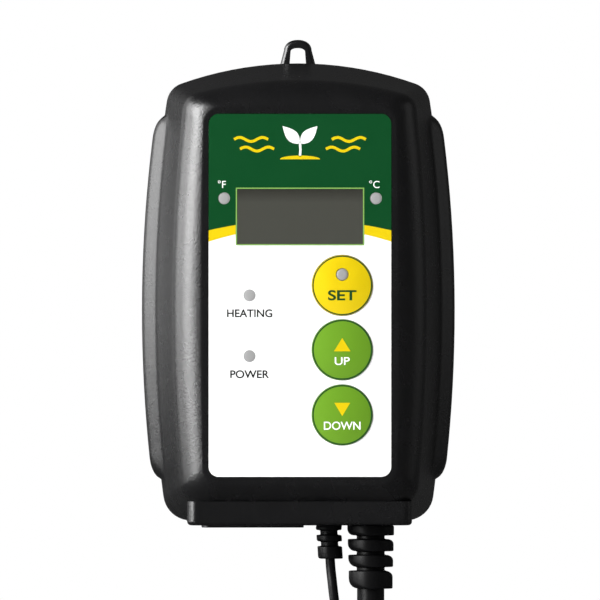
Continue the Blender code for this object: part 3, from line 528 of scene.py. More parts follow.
def shoulder(radius, steps=16):
    """(depth, spread) along the shoulder, from a slight crease at the flat face to the side."""
    first, last = SHOULDER_START, math.pi / 2 - SIDE_DRAFT
    wide = math.sin(last) / (math.sin(last) - math.sin(first))
    deep = (1 - math.cos(last)) / (math.cos(first) - math.cos(last))
    turns = [first + (last - first) * i / steps for i in range(steps + 1)]
    return [(SHOULDER_RADIUS - radius * (1 - deep * (math.cos(first) - math.cos(a))),
             radius * wide * (math.sin(a) - math.sin(first)) / SHOULDER_WIDTH) for a in turns]


def side_spread(depth):
    end_depth, end_spread = shoulder(SHOULDER_RADIUS)[-1]
    joint = CASE_DEPTH - PARTING
    return min(1.0, end_spread + (1 - end_spread) * (depth - end_depth) / (joint - end_depth))


def side_rings(first, last, inset=0.0):
    """Rings down the side between two depths, with the grip rising across its own depths."""
    depths = list(np.linspace(first, WING_DEPTH, 5)) + [WING_DEPTH + WING_BLEND * f
                                                        for f in even(8)[1:]]
    depths = [d for d in depths if d < last] + [last]
    return [case_ring(d, side_spread(d), smooth_step((d - WING_DEPTH) / WING_BLEND), inset)
            for d in depths]


def plinth_outline(inset, y_back):
    half, front, r = PLINTH_HALF - inset, inset - PLINTH_FRONT, PLINTH_CORNER
    right = [(half - r + r * math.sin(a), front + r - r * math.cos(a)) for a in quarter(8)]
    right.append((half, y_back))
    return right + [(-x, y) for x, y in reversed(right)]


def plinth_rise():
    """(inset, height) up the plinth's side, from its rounded foot."""
    foot = [(FOOT_ROUND * (1 - math.sin(a)), FOOT_ROUND * (1 - math.cos(a))) for a in quarter(4)]
    return foot + [(0.0, PLINTH_TOP)]


def add_outlet_hole(bm):
    low, high = box_mm("outlet_insert")
    x, y = (low.x + high.x) / 2, high.y - OUTLET_HALF_Y
    half_x, half_y = OUTLET_HALF_X + GAP, OUTLET_HALF_Y + GAP
    add_post(bm, rounded_rectangle(x, y, half_x, half_y, 2.3), level(-3), level(WALL + 1.5))


def panel_holes(bm, y_front, y_back, growth=0.0, lamp_radius=LAMP_HOLE):
    """Holes for the window, the keys and the lamps."""
    mid, half = middle_mm("display_window")
    grown = GAP + growth
    add_plate(bm, rounded_rectangle(mid.x, mid.z, half.x + grown, half.z + grown, 0.6),
              y_front, y_back)
    for name in ("key_set", "key_up", "key_down", "light_pipe_fahrenheit", "light_pipe_celsius",
                 "light_pipe_heating", "light_pipe_power"):
        mid = middle_mm(name)[0]
        radius = KEY_HOLE + growth if name.startswith("key") else lamp_radius
        add_rod(bm, (mid.x, y_front, mid.z), (mid.x, y_back, mid.z), radius, 64)


def front_cover(look):
    joint = CASE_DEPTH + JOINT_FRONT
    bm = bmesh.new()
    add_loft(bm, [case_ring(d, s, 0.0) for d, s in shoulder(SHOULDER_RADIUS)]
             + side_rings(SIDE_START, joint))
    cover = piece("case_front", bm, look["case"], "front_cover")
    bm = bmesh.new()
    add_loft(bm, [[(x, y, level(height)) for x, y in plinth_outline(inset, JOINT_FRONT)]
                  for inset, height in plinth_rise()])
    carve(cover, bm, "UNION")
    bm = bmesh.new()
    inner = shoulder(SHOULDER_RADIUS - FRONT_WALL, 6)
    add_loft(bm, [case_ring(d, s, 0.0, WALL) for d, s in inner]
             + side_rings(SIDE_START, joint + 2, WALL))
    carve(cover, bm)
    bm = bmesh.new()
    add_post(bm, plinth_outline(WALL, JOINT_FRONT + 4), level(WALL), level(PLINTH_TOP + 6))
    carve(cover, bm)
    bm = bmesh.new()
    mid, half = middle_mm("label_overlay")
    add_plate(bm, rounded_rectangle(mid.x, mid.z, half.x + GAP / 2, half.z + GAP / 2,
                                    LABEL_CORNER + 0.2), FACE_Y - 2, FACE_Y + RECESS)
    carve(cover, bm)
    bm = bmesh.new()
    panel_holes(bm, FACE_Y - 1, FACE_Y + 4)
    for x, hole in ((MAINS_X, MAINS_HOLE), (PROBE_X, PROBE_HOLE)):
        add_rod(bm, (x, LEAD_Y, level(-2)), (x, LEAD_Y, level(WALL + 2)), hole)
    add_outlet_hole(bm)
    carve(cover, bm)
    soften(cover, 0.25)


def loop_outline(foot, shoulder_at, crest, rise, root):
    """The arch's outline: legs that lean in from foot to shoulder_at, each (half width, z), and a
    crest that is part of an ellipse, rise high."""
    right = [(foot[0], root), foot]
    right += [(shoulder_at[0] * math.cos(a) ** 0.9, crest - rise + rise * math.sin(a))
              for a in quarter(16)]
    return right + [(-x, z) for x, z in reversed(right[:-1])]


def inner_offset(outline, by):
    """The outline moved inwards by a small distance."""
    moved = []
    for i, (x, z) in enumerate(outline):
        before, after = Vector(outline[i - 1]), Vector(outline[(i + 1) % len(outline)])
        along = (after - before).normalized()
        moved.append((x - along.y * by, z + along.x * by))
    return moved


def add_rounded_plate(bm, outline, y_front, y_back, edge, steps=5):
    """A plate whose rim is rounded towards both faces. The outline runs anticlockwise."""
    turns = quarter(steps)
    front = [(y_front + edge * (1 - math.sin(a)), edge * (1 - math.cos(a))) for a in turns]
    back = [(y_back - edge * (1 - math.sin(a)), edge * (1 - math.cos(a))) for a in turns]
    rows = [(y, by) for y, by in reversed(front)] + back
    add_loft(bm, [[(x, y, z) for x, z in inner_offset(outline, by)] for y, by in rows])


def rear_cover(look):
    joint, back = CASE_DEPTH + JOINT_REAR, CASE_DEPTH - BACK_EDGE
    bm = bmesh.new()
    edge = [(back + BACK_EDGE * math.sin(a), BACK_EDGE * (1 - math.cos(a))) for a in quarter(8)[1:]]
    add_loft(bm, [case_ring(joint, 1, 1), case_ring((joint + back) / 2, 1, 1),
                  case_ring(back, 1, 1)] + [case_ring(d, 1, 1, 0, shave) for d, shave in edge])
    cover = piece("case_rear", bm, look["case"], "rear_cover")
    bm = bmesh.new()
    corners = ((1, JOINT_REAR), (1, -BACK_EDGE), (-1, -BACK_EDGE), (-1, JOINT_REAR))
    add_loft(bm, [[(side * (PLINTH_HALF - inset), y, level(height)) for side, y in corners]
                  for inset, height in plinth_rise()])
    carve(cover, bm, "UNION")
    bm = bmesh.new()
    add_rounded_plate(bm, loop_outline(**LOOP), *LOOP_Y, 1.1)
    carve(cover, bm, "UNION")
    bm = bmesh.new()
    add_loft(bm, [case_ring(joint - 2, 1, 1, WALL), case_ring(back, 1, 1, WALL),
                  case_ring(CASE_DEPTH - WALL, 1, 1, WALL, 0.8)])
    carve(cover, bm)
    bm = bmesh.new()
    side = PLINTH_HALF - WALL
    add_box(bm, (-side, JOINT_REAR - 2, level(WALL)),
            (side, -BACK_EDGE - WALL, level(PLINTH_TOP + 6)))
    carve(cover, bm)
    bm = bmesh.new()
    for x, height in COVER_SCREWS:
        add_turned(bm, (x, level(height)), [(BOSS_RADIUS, JOINT_REAR), (BOSS_RADIUS, -1)], "y")
    carve(cover, bm, "UNION")
    bm = bmesh.new()
    add_plate(bm, loop_outline(**LOOP_EYE), LOOP_Y[0] - 3, 3)
    for x, height in COVER_SCREWS:
        add_turned(bm, (x, level(height)),
                   [(SCREW_HOLE, -16), (SCREW_HOLE, COUNTERBORE_Y), (COUNTERBORE, COUNTERBORE_Y),
                    (COUNTERBORE, 1)], "y")
    add_outlet_hole(bm)
    mid, half = middle_mm("rating_label")
    add_plate(bm, rounded_rectangle(mid.x, mid.z, half.x + GAP, half.z + GAP, 2), -RECESS, 1)
    carve(cover, bm)
    soften(cover, 0.22)


def seam_lip(look):
    """A thin tongue inside the joint of the two covers, which keeps light and splashes out."""
    joint = CASE_DEPTH - PARTING
    bm = bmesh.new()
    add_loft(bm, [case_ring(joint - 1, 1, 1, WALL + 0.2), case_ring(joint + 1, 1, 1, WALL + 0.2),
                  case_ring(joint + 1, 1, 1, WALL + 1.2), case_ring(joint - 1, 1, 1, WALL + 1.2)],
             True)
    lip = piece("case_seam_lip", bm, look["case"])
    bm = bmesh.new()
    add_box(bm, (-30, -PARTING - 3, level(0)), (30, -PARTING + 3, level(26)))
    carve(lip, bm)


# ---------------------------------------------------------------- the printed label

PRINT = 0.02  # thickness of an ink layer
EMBLEM_LEVEL = 99.3
FILM_OVERHANG, FILM_LAMP_HOLE = 0.22, 1.62  # past the cover's holes, and over each lamp's rim
INK_Y = FACE_Y - 0.01
KEY_INK_Y = box_mm("key_set")[0].y - 0.01


def add_ink(bm, outline, y):
    add_plate(bm, outline, y - PRINT, y)


def disc(x, z, radius, sides=64):
    return arc((x, z), radius, 0, 2 * math.pi, even(sides)[:-1])


def add_ring_plate(bm, outer, inner, y_front, y_back):
    """A flat frame between two outlines of equally many points."""
    add_loft(bm, [[(x, y_front, z) for x, z in outer], [(x, y_back, z) for x, z in outer],
                  [(x, y_back, z) for x, z in inner], [(x, y_front, z) for x, z in inner]], True)


def cut_film_holes(sheet):
    """Cuts the holes for the window, keys and lamps, which are smaller than the cover's."""
    bm = bmesh.new()
    panel_holes(bm, FACE_Y - 1, FACE_Y + 1, -FILM_OVERHANG, FILM_LAMP_HOLE)
    carve(sheet, bm)


def film(look):
    """The white film under the print, with its holes."""
    bm = bmesh.new()
    mid, half = middle_mm("label_overlay")
    add_plate(bm, rounded_rectangle(mid.x, mid.z, half.x, half.z, LABEL_CORNER), FACE_Y, label_high.y)
    sheet = piece("label_film", bm, look["white"], "label_overlay")
    cut_film_holes(sheet)
    soften(sheet, 0.04, 1)


def swoosh(heights, x):
    """Height of a band's edge, which rises from the label's sides to its middle."""
    side, middle = heights
    return side + (middle - side) * (1 - (abs(x) / label_high.x) ** 2)


def header(look):
    """Green field at the label's top, edged below by a yellow band that arches behind the window."""
    half, top, corner = label_high.x, label_high.z, LABEL_CORNER
    across = [half * (2 * f - 1) for f in even(40)]
    green_edge = [(x, level(swoosh((79.75, 82.6), x))) for x in across]
    band_edge = [(x, level(swoosh((76.7, 80.6), x))) for x in across]
    corners = arc((half - corner, top - corner), corner, 0, math.pi / 2, even(8))
    corners += arc((corner - half, top - corner), corner, math.pi / 2, math.pi, even(8))
    for name, ink, outline in (("label_header", "green", green_edge + corners),
                               ("label_band", "yellow", band_edge + green_edge[::-1])):
        bm = bmesh.new()
        add_ink(bm, outline, INK_Y)
        cut_film_holes(piece(name, bm, look[ink]))


def window(look):
    low, high = box_mm("display_window")
    mid, half = (low + high) / 2, (high - low) / 2
    bm = bmesh.new()
    add_plate(bm, rounded_rectangle(mid.x, mid.z, half.x, half.z, 0.5), FACE_Y + 0.02, high.y)
    pane = piece("display_pane", bm, look["window"], "display_window")
    soften(pane, 0.08)
    bm = bmesh.new()
    outer = rounded_rectangle(mid.x, mid.z, half.x + 0.06, half.z + 0.06, 0.15)
    inner = rounded_rectangle(mid.x, mid.z, half.x - 0.27, half.z - 0.27, 0.05)
    add_ring_plate(bm, outer, inner, INK_Y - 2 * PRINT, INK_Y - PRINT)
    piece("window_line", bm, look["line"])


def add_stroke(bm, route, width, y):
    """A printed line of even width through a few points."""
    points = [np.array(p, float) for p in route]
    left, right = [], []
    for i, point in enumerate(points):
        along = points[min(i + 1, len(points) - 1)] - points[max(i - 1, 0)]
        side = np.array((-along[1], along[0])) / np.linalg.norm(along) * width / 2
        left.append(tuple(point + side))
        right.append(tuple(point - side))
    add_ink(bm, left + right[::-1], y)


def leaf_outline(root, tip, width, steps=14):
    """A leaf with two arched edges from its root to its tip."""
    root, tip = np.array(root, float), np.array(tip, float)
    along = tip - root
    side = np.array((-along[1], along[0])) / np.linalg.norm(along) * width / 2
    edge = [root + along * f + side * math.sin(math.pi * f ** 0.8) for f in even(steps)]
    other = [root + along * f - side * math.sin(math.pi * f ** 0.8) for f in even(steps)]
    return [tuple(p) for p in edge] + [tuple(p) for p in other[-2:0:-1]]


def emblem(look):
    """A generic seedling over wavy warmth lines, where such a label has its heading."""
    base, y = level(EMBLEM_LEVEL), INK_Y - PRINT
    bm = bmesh.new()
    for side in (-1, 1):
        leaf = leaf_outline((0.15 * side, base + 3.9), (4.7 * side, base + 8.6), 3.1)
        add_ink(bm, leaf, y)
    add_stroke(bm, [(0, base + 0.4), (0.1, base + 2.2), (0, base + 4.2)], 0.6, y)
    piece("label_seedling", bm, look["white"])
    bm = bmesh.new()
    for row, start in enumerate((7.0, 8.6)):
        for side in (-1, 1):
            wave = [(side * (start + 9.2 * f), base + 2.4 + 2.6 * row + 0.55 * math.sin(9.4 * f))
                    for f in even(28)]
            add_stroke(bm, wave, 0.75, y)
    mound = [(5.4 * math.cos(math.pi * f), base - 0.35 + math.sin(math.pi * f)) for f in even(20)]
    add_ink(bm, mound, y)
    piece("label_warmth_lines", bm, look["yellow"])


def legend(name, words, x, height, size, ink, look, body=BODY, y=INK_Y - PRINT, bold=0.0,
           width=None):
    """Generic printed words, centred on x, with their capitals standing on height."""
    curve = bpy.data.curves.new(name, "FONT")
    curve.body, curve.size = words, size
    curve.align_x = "CENTER"
    curve.extrude, curve.offset = PRINT / 2, bold
    text = bpy.data.objects.new(name, curve)
    bpy.context.collection.objects.link(text)
    bpy.context.view_layer.update()
    graph = bpy.context.evaluated_depsgraph_get()
    mesh = bpy.data.meshes.new_from_object(text.evaluated_get(graph))
    bpy.data.objects.remove(text)
    bm = bmesh.new()
    bm.from_mesh(mesh)
    xs = [v.co.x for v in bm.verts]
    stretch = width / (max(xs) - min(xs)) if width else 1.0
    middle = (max(xs) + min(xs)) / 2
    for vert in bm.verts:
        vert.co = Vector((x + (vert.co.x - middle) * stretch, y - PRINT / 2 - vert.co.z,
                          level(height) + vert.co.y))
    bmesh.ops.remove_doubles(bm, verts=bm.verts, dist=0.001)
    piece(name, bm, look[ink], body=body)


def legends(look):
    for name, words, x in (("fahrenheit", "°F", -21.1), ("celsius", "°C", 20.1)):
        legend("print_" + name, words, x, 91.2, 2.75, "white", look)
    legend("print_heating", "HEATING", -13.6, 56.35, 2.95, "black", look, bold=0.05, width=12.2)
    legend("print_power", "POWER", -13.6, 39.9, 2.95, "black", look, bold=0.05, width=10.5)


# ---------------------------------------------------------------- keys and lamps

KEY_RADIUS, KEY_LINE, STEM_RADIUS = 8.15, 0.42, 1.6
KEY_BACK_Y, EAR_FRONT_Y, EAR_BACK_Y, EAR_HALF = -33.85, -34.95, -33.9, 4.0
LAMP_RADIUS, LAMP_FLANGE, FLANGE_FRONT_Y, FLANGE_BACK_Y = 1.75, 2.4, -34.95, -34.2


def key_cap(name, body, ink, look):
    """The key's printed disc over its ears and stem, with a thin dark line around its edge."""
    low, high = box_mm(name)
    mid = (low + high) / 2
    bm = bmesh.new()
    r = KEY_RADIUS
    profile = [(STEM_RADIUS, high.y), (STEM_RADIUS, KEY_BACK_Y), (r, KEY_BACK_Y), (r, low.y + 0.12),
               (r - 0.04, low.y + 0.04), (r - 0.14, low.y)]
    add_turned(bm, (mid.x, mid.z), profile, "y", 96)
    cap = piece(name + "_cap", bm, look[ink], name, body)
    bm = bmesh.new()
    add_box(bm, (low.x, EAR_FRONT_Y, mid.z - EAR_HALF), (high.x, EAR_BACK_Y, mid.z + EAR_HALF))
    carve(cap, bm, "UNION")
    if name == "key_set":
        lamp, half = middle_mm("light_pipe_set")
        bm = bmesh.new()
        add_turned(bm, (lamp.x, lamp.z), [(half.x + 0.1, -40), (half.x + 0.1, -32)], "y", 64)
        carve(cap, bm)
    bm = bmesh.new()
    add_ring_plate(bm, disc(mid.x, mid.z, r - 0.1, 96), disc(mid.x, mid.z, r - KEY_LINE, 96),
                   KEY_INK_Y - PRINT, KEY_INK_Y)
    piece(name + "_line", bm, look["dark"], body=body)
    return mid.x, mid.z - CASE_BOTTOM


def arrow(name, body, x, height, half, rise, look):
    """A printed triangle that points up, or down where its rise is negative."""
    z = level(height)
    bm = bmesh.new()
    add_ink(bm, [(x - half, z - rise / 2), (x + half, z - rise / 2), (x, z + rise / 2)], KEY_INK_Y)
    piece(name, bm, look["yellow"], body=body)


def keys(look):
    x, height = key_cap("key_set", SET, "yellow", look)
    legend("print_set", "SET", x, height - 3.95, 3.75, "dark", look, SET, KEY_INK_Y, 0.09, 7.7)
    x, height = key_cap("key_up", UP, "leaf", look)
    arrow("print_up_arrow", UP, x, height + 1.4, 2.25, 3.6, look)
    legend("print_up", "UP", x, height - 4.05, 3.0, "white", look, UP, KEY_INK_Y, 0.03, 4.05)
    x, height = key_cap("key_down", DOWN, "leaf", look)
    arrow("print_down_arrow", DOWN, x, height + 1.5, 2.15, -3.6, look)
    legend("print_down", "DOWN", x, height - 3.95, 3.1, "white", look, DOWN, KEY_INK_Y, 0.03, 9.9)


def lamps(look):
    """Frosted light pipes with a slight dome, each in a fine dark seam."""
    for name in ("fahrenheit", "celsius", "heating", "power"):
        low, high = box_mm("light_pipe_" + name)
        mid = (low + high) / 2
        bm = bmesh.new()
        r, flange = LAMP_RADIUS, LAMP_FLANGE
        profile = [(r, high.y), (r, FLANGE_BACK_Y), (flange, FLANGE_BACK_Y), (flange, FLANGE_FRONT_Y),
                   (r, FLANGE_FRONT_Y), (r, low.y + 0.45), (1.6, low.y + 0.45), (1.6, low.y + 0.2),
                   (1.5, low.y + 0.09), (1.2, low.y + 0.03), (0.6, low.y)]
        add_turned(bm, (mid.x, mid.z), profile, "y", 64)
        piece("lamp_" + name, bm, look["lamp"], "light_pipe_" + name)
    low, high = box_mm("light_pipe_set")
    mid, radius = (low + high) / 2, (high.x - low.x) / 2
    bm = bmesh.new()
    add_turned(bm, (mid.x, mid.z), [(radius, high.y), (radius, low.y + 0.25), (1.45, low.y + 0.1),
                                    (1.1, low.y + 0.03), (0.5, low.y)], "y", 64)
    piece("lamp_set", bm, look["lamp"], "light_pipe_set", SET)


# ---------------------------------------------------------------- sleeves

LEAD_Y = -20.0
MAINS_X, MAINS_D, MAINS_SLEEVE, MAINS_HOLE = 19.5, 7.4, 17.4, 5.8
PROBE_X, PROBE_D, PROBE_SLEEVE, PROBE_HOLE = 8.3, 2.6, 9.3, 3.2
MAINS_SHAPE = dict(rib=6.35, core=3.8, bore=3.55, long=MAINS_SLEEVE, ribs=4, gap=1.03, heel=2.4,
                   toe=1.9, lean=0.0, neck=5.5, flange=7.0)
PROBE_SHAPE = dict(rib=3.5, core=2.35, bore=1.2, long=PROBE_SLEEVE, ribs=3, gap=1.3, heel=0.4,
                   toe=0.3, lean=0.062, neck=2.9, flange=3.9)


def rib_edge(high, reach, sign, rib, steps=5):
    """Points (radius, z) around a rib's rim where a corner of the given reach is rounded off."""
    points = [(rib - reach[0] * (1 - math.sin(a)), high - sign * reach[1] * (1 - math.cos(a)))
              for a in quarter(steps)]
    return points if sign > 0 else points[::-1]


def sleeve_ring(turned, rib, core, long, ribs, gap, heel, toe):
    """(radius, z) down the outside of a ribbed sleeve, at one place around it. Each rib's lower left
    and upper right are cut away, by heel and toe, and more so on the lower ribs."""
    pitch = 0.985 * long / ribs
    highs = [level(-GAP / 2)] + [level(-(i - 0.07) * pitch) for i in range(1, ribs)]
    lows = [high + gap for high in highs[1:]] + [level(-long)]
    points = []
    for i, (high, low) in enumerate(zip(highs, lows)):
        here = rib * (1 - 0.02 * i)
        more = 0.5 + 0.5 * (i + 1) / ribs
        upper = 0.3 + toe * more * max(0.0, math.cos(turned)) ** 1.5 * (1 if i else 0.4)
        lower = 0.3 + heel * more * max(0.0, -math.cos(turned)) ** 1.5
        points += rib_edge(high, (upper, 0.75 * upper), 1, here)
        points += rib_edge(low, (0.9 * lower, lower), -1, here)
        if i < ribs - 1:
            points += [(core + 0.3, low), (core, low - 0.2), (core, highs[i + 1] + 0.2),
                       (core + 0.3, highs[i + 1])]
    return points


def sleeve(name, node, x, look, rib, core, bore, long, ribs, gap, heel, toe, lean, neck, flange):
    """A ribbed rubber sleeve around its lead, held in the wall by its neck and flange."""
    high = box_mm(node)[1].z
    head = [(flange, high), (flange, level(WALL + GAP)), (neck, level(WALL + GAP)),
            (neck, level(-GAP / 2))]
    columns = []
    for i in range(96):
        turned = 2 * math.pi * i / 96
        outside = head + sleeve_ring(turned, rib, core, long, ribs, gap, heel, toe)
        profile = outside + [(bore, outside[-1][1]), (bore, high)]
        column = []
        for r, z in profile:
            below = max(0.0, level(0) - z)
            shift = lean * (below - long / 2) * min(1.0, below)
            column.append((x + shift + r * math.cos(turned), LEAD_Y + r * math.sin(turned), z))
        columns.append(column)
    bm = bmesh.new()
    add_loft(bm, [list(ring) for ring in zip(*columns)], closed=True)
    piece(name, bm, look["rubber"], node, smooth=50.0)


def sleeves(look):
    sleeve("mains_sleeve", "mains_strain_relief", MAINS_X, look, **MAINS_SHAPE)
    sleeve("probe_sleeve", "probe_strain_relief", PROBE_X, look, **PROBE_SHAPE)


# ---------------------------------------------------------------- leads

MAINS_COIL = dict(y=-15.3, top=-170.5, radial=2, deep=4, inner=34.8, d=MAINS_D, bend=40.0)
PROBE_COIL = dict(y=-35.6, top=-155.5, radial=5, deep=4, inner=9.1, d=PROBE_D, bend=15.0)
MAINS_TURNS = [(1, 2), (1, 3), (0, 3), (0, 2), (0, 1), (0, 0), (1, 0), (1, 1)]  # (radial, layer)
MAINS_ROUTE = [(19.5, -20, -147.5), (19.5, -20, -151), (19.5, -20, -155.5), (19.7, -20, -160.5),
               (20.2, -19.8, -165.4), (21.1, -19.6, -169.1)]
PROBE_ROUTE = [(8.5, -20, -139.4), (8.65, -20, -141.7), (9.0, -20.6, -145), (9.4, -22.4, -148.8),
               (9.9, -25.0, -152.5), (10.6, -27.6, -155.9), (11.9, -29.9, -159.1)]
PROBE_BEND_X = 9.9  # where the lead's last bend, into its coil, starts
PLUG_TOP, PLUG_BODY_TOP, PLUG_BODY_BOTTOM = -249.8, -265.5, -297.5
TIP_TOP = -196.8
COIL_TOP, SHIFT_HALF, STEP = 90, 30, 7.5  # degrees: where turns change place, and between points


def coil_place(coil, lead_x):
    """(centre x, centre z, inner radius, outer radius) of a coil below its lead. The lead bends out
    by 45 degrees and meets the outermost turn there."""
    outer_strand = coil["inner"] + (coil["radial"] - 1) * coil["d"]
    outer = outer_strand + coil["d"] / 2
    half = math.sqrt(0.5)
    x = lead_x + coil["bend"] * (1 - half) - outer_strand * half
    return x, coil["top"] - outer, coil["inner"] - coil["d"] / 2, outer


def coil_turns(coil, lead_x, turns):
    """Points of the wound turns, clockwise from 45 degrees to the right-hand side. turns lists each
    turn's (radial place, layer), and a turn changes to the next one at the coil's top."""
    x, z = coil_place(coil, lead_x)[:2]
    d = coil["d"]
    back = coil["y"] + coil["deep"] * d / 2
    places = [(coil["inner"] + radial * d, back - (layer + 0.5) * d) for radial, layer in turns]
    first_shift = 360 + 45 - COIL_TOP
    last = first_shift + 360 * (len(places) - 2) + COIL_TOP
    points = []
    for i in range(round(last / STEP) + 1):
        turned = i * STEP
        count = (turned - first_shift + SHIFT_HALF) / 360
        index = min(max(math.floor(count), -1), len(places) - 2)
        share = smooth_step((count - index) * 360 / (2 * SHIFT_HALF)) if index >= 0 else 0.0
        here, following = places[max(index, 0)], places[index + 1]
        r = here[0] + share * (following[0] - here[0])
        y = here[1] + share * (following[1] - here[1])
        angle = math.radians(45 - turned)
        points.append((x + r * math.cos(angle), y, z + r * math.sin(angle)))
    return points


def add_cord(name, points, diameter, material):
    """A round cord of one open spline through the points."""
    curve = bpy.data.curves.new(name, "CURVE")
    curve.dimensions = "3D"
    curve.bevel_depth, curve.bevel_resolution = diameter / 2 * MM, 7
    curve.use_fill_caps = True
    curve.resolution_u = 4
    line = curve.splines.new("BEZIER")
    line.bezier_points.add(len(points) - 1)
    for point, place in zip(line.bezier_points, points):
        point.co = Vector(place) * MM
        point.handle_left_type = point.handle_right_type = "AUTO"
    curve.materials.append(material)
    made = bpy.data.objects.new(name, curve)
    bpy.context.collection.objects.link(made)
    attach(made, BODY)
    return made


def boustrophedon(radial, deep):
    """(radial place, layer) of each turn, wound from the outside inwards and back out in turn."""
    order = []
    for layer in range(deep):
        places = range(radial)
        order += [(place, layer) for place in (places if layer % 2 else reversed(places))]
    return order


def mains_cord(look):
    """Held by its sleeve, down, then out and around the coil, and down again to its plug."""
    x, z, _, outer = coil_place(MAINS_COIL, MAINS_X)
    bend_y, first_y = MAINS_ROUTE[-1][1], MAINS_COIL["y"] - MAINS_D / 2
    turns, radius = coil_turns(MAINS_COIL, MAINS_X, MAINS_TURNS), MAINS_COIL["bend"]
    start_z = turns[0][2] + radius * math.sqrt(0.5)
    bend = []
    for turn in (22, 27, 32, 37, 41):
        a, share = math.radians(turn), (turn - 17) / 28
        bend.append((MAINS_X + radius * (1 - math.cos(a)), bend_y + share * (first_y - bend_y),
                     start_z - radius * math.sin(a)))
    tail_x, tail_y = x + outer - MAINS_D / 2, turns[-1][1]
    tail = [(tail_x, tail_y, z - 8 - 8 * i) for i in range(4)] + [(tail_x, tail_y, PLUG_TOP - 2.2)]
    head = [(MAINS_X, LEAD_Y, level(3)), (MAINS_X, LEAD_Y, level(-6))]
    return add_cord("mains_cord", head + MAINS_ROUTE + bend + turns + tail, MAINS_D, look["cord"])


def probe_cord(look):
    """The thin sensor lead, wound into its own small coil in front of the mains lead."""
    x, z, _, outer = coil_place(PROBE_COIL, PROBE_BEND_X)
    turns = coil_turns(PROBE_COIL, PROBE_BEND_X,
                       boustrophedon(PROBE_COIL["radial"], PROBE_COIL["deep"]))
    tail_x, tail_y = x + outer - PROBE_D / 2, turns[-1][1]
    tail = [(tail_x, tail_y, z - 5 * (i + 1)) for i in range(3)] + [(tail_x, tail_y, TIP_TOP - 1.2)]
    head = [(PROBE_X, LEAD_Y, level(3)), (PROBE_X, LEAD_Y, level(-4))]
    return add_cord("probe_cord", head + PROBE_ROUTE + turns + tail, PROBE_D, look["cord"])


def cords(look):
    mains, probe = mains_cord(look), probe_cord(look)
    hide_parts("mains_cable", "mains_coil", "mains_tail")
    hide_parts("probe_cable", "probe_coil", "probe_tail")
    return mains, probe


FRONT_PART = slice(16, 29)  # the points of a tie's loop that lie across the coil's front


def tie(name, node, coil, lead_x, angle, spread, thick, look):
    """A woven strap around the coil's turns, and the end of it that is pressed down on its front."""
    x, z, inner, outer = coil_place(coil, lead_x)
    mid, half_r, half_deep = (inner + outer) / 2, (outer - inner) / 2, coil["deep"] * coil["d"] / 2
    room = GAP * 0.6

    def loop(turned, grow):
        reach = room + grow
        outline = rounded_rectangle(mid, coil["y"], half_r + reach, half_deep + reach,
                                    min(reach + coil["d"] * 0.42, half_r), 6)
        return [(x + r * math.cos(turned), y, z + r * math.sin(turned)) for r, y in outline]

    middle, half = math.radians(angle), math.radians(spread / 2)
    turns = [middle + half * (2 * f - 1) for f in even(6)]
    bm = bmesh.new()
    add_loft(bm, [loop(a, thick * 0.8) for a in turns] + [loop(a, 0) for a in reversed(turns)], True)
    strap = piece(name, bm, look["strap"], node)
    soften(strap, thick * 0.2, 2, 50)
    bm = bmesh.new()
    narrow = [middle + 0.9 * half * (2 * f - 1) for f in even(6)]
    add_loft(bm, [loop(a, thick * 1.15)[FRONT_PART] + loop(a, thick * 0.75)[FRONT_PART][::-1]
                  for a in narrow])
    flap = piece(name + "_end", bm, look["strap"])
    soften(flap, thick * 0.12, 2, 50)
    return [strap, flap]


def ties(look):
    return (tie("mains_tie_strap", "mains_tie", MAINS_COIL, MAINS_X, 168, 18, 1.3, look)
            + tie("probe_tie_strap", "probe_tie", PROBE_COIL, PROBE_BEND_X, 102, 26, 0.8, look))


PLUG_HALF_X, PLUG_HALF_Y = 12.4, 11.0
BLADE_TAPER, BLADE_HOLE, BLADE_HOLE_RISE = 1.6, 1.6, 4.2


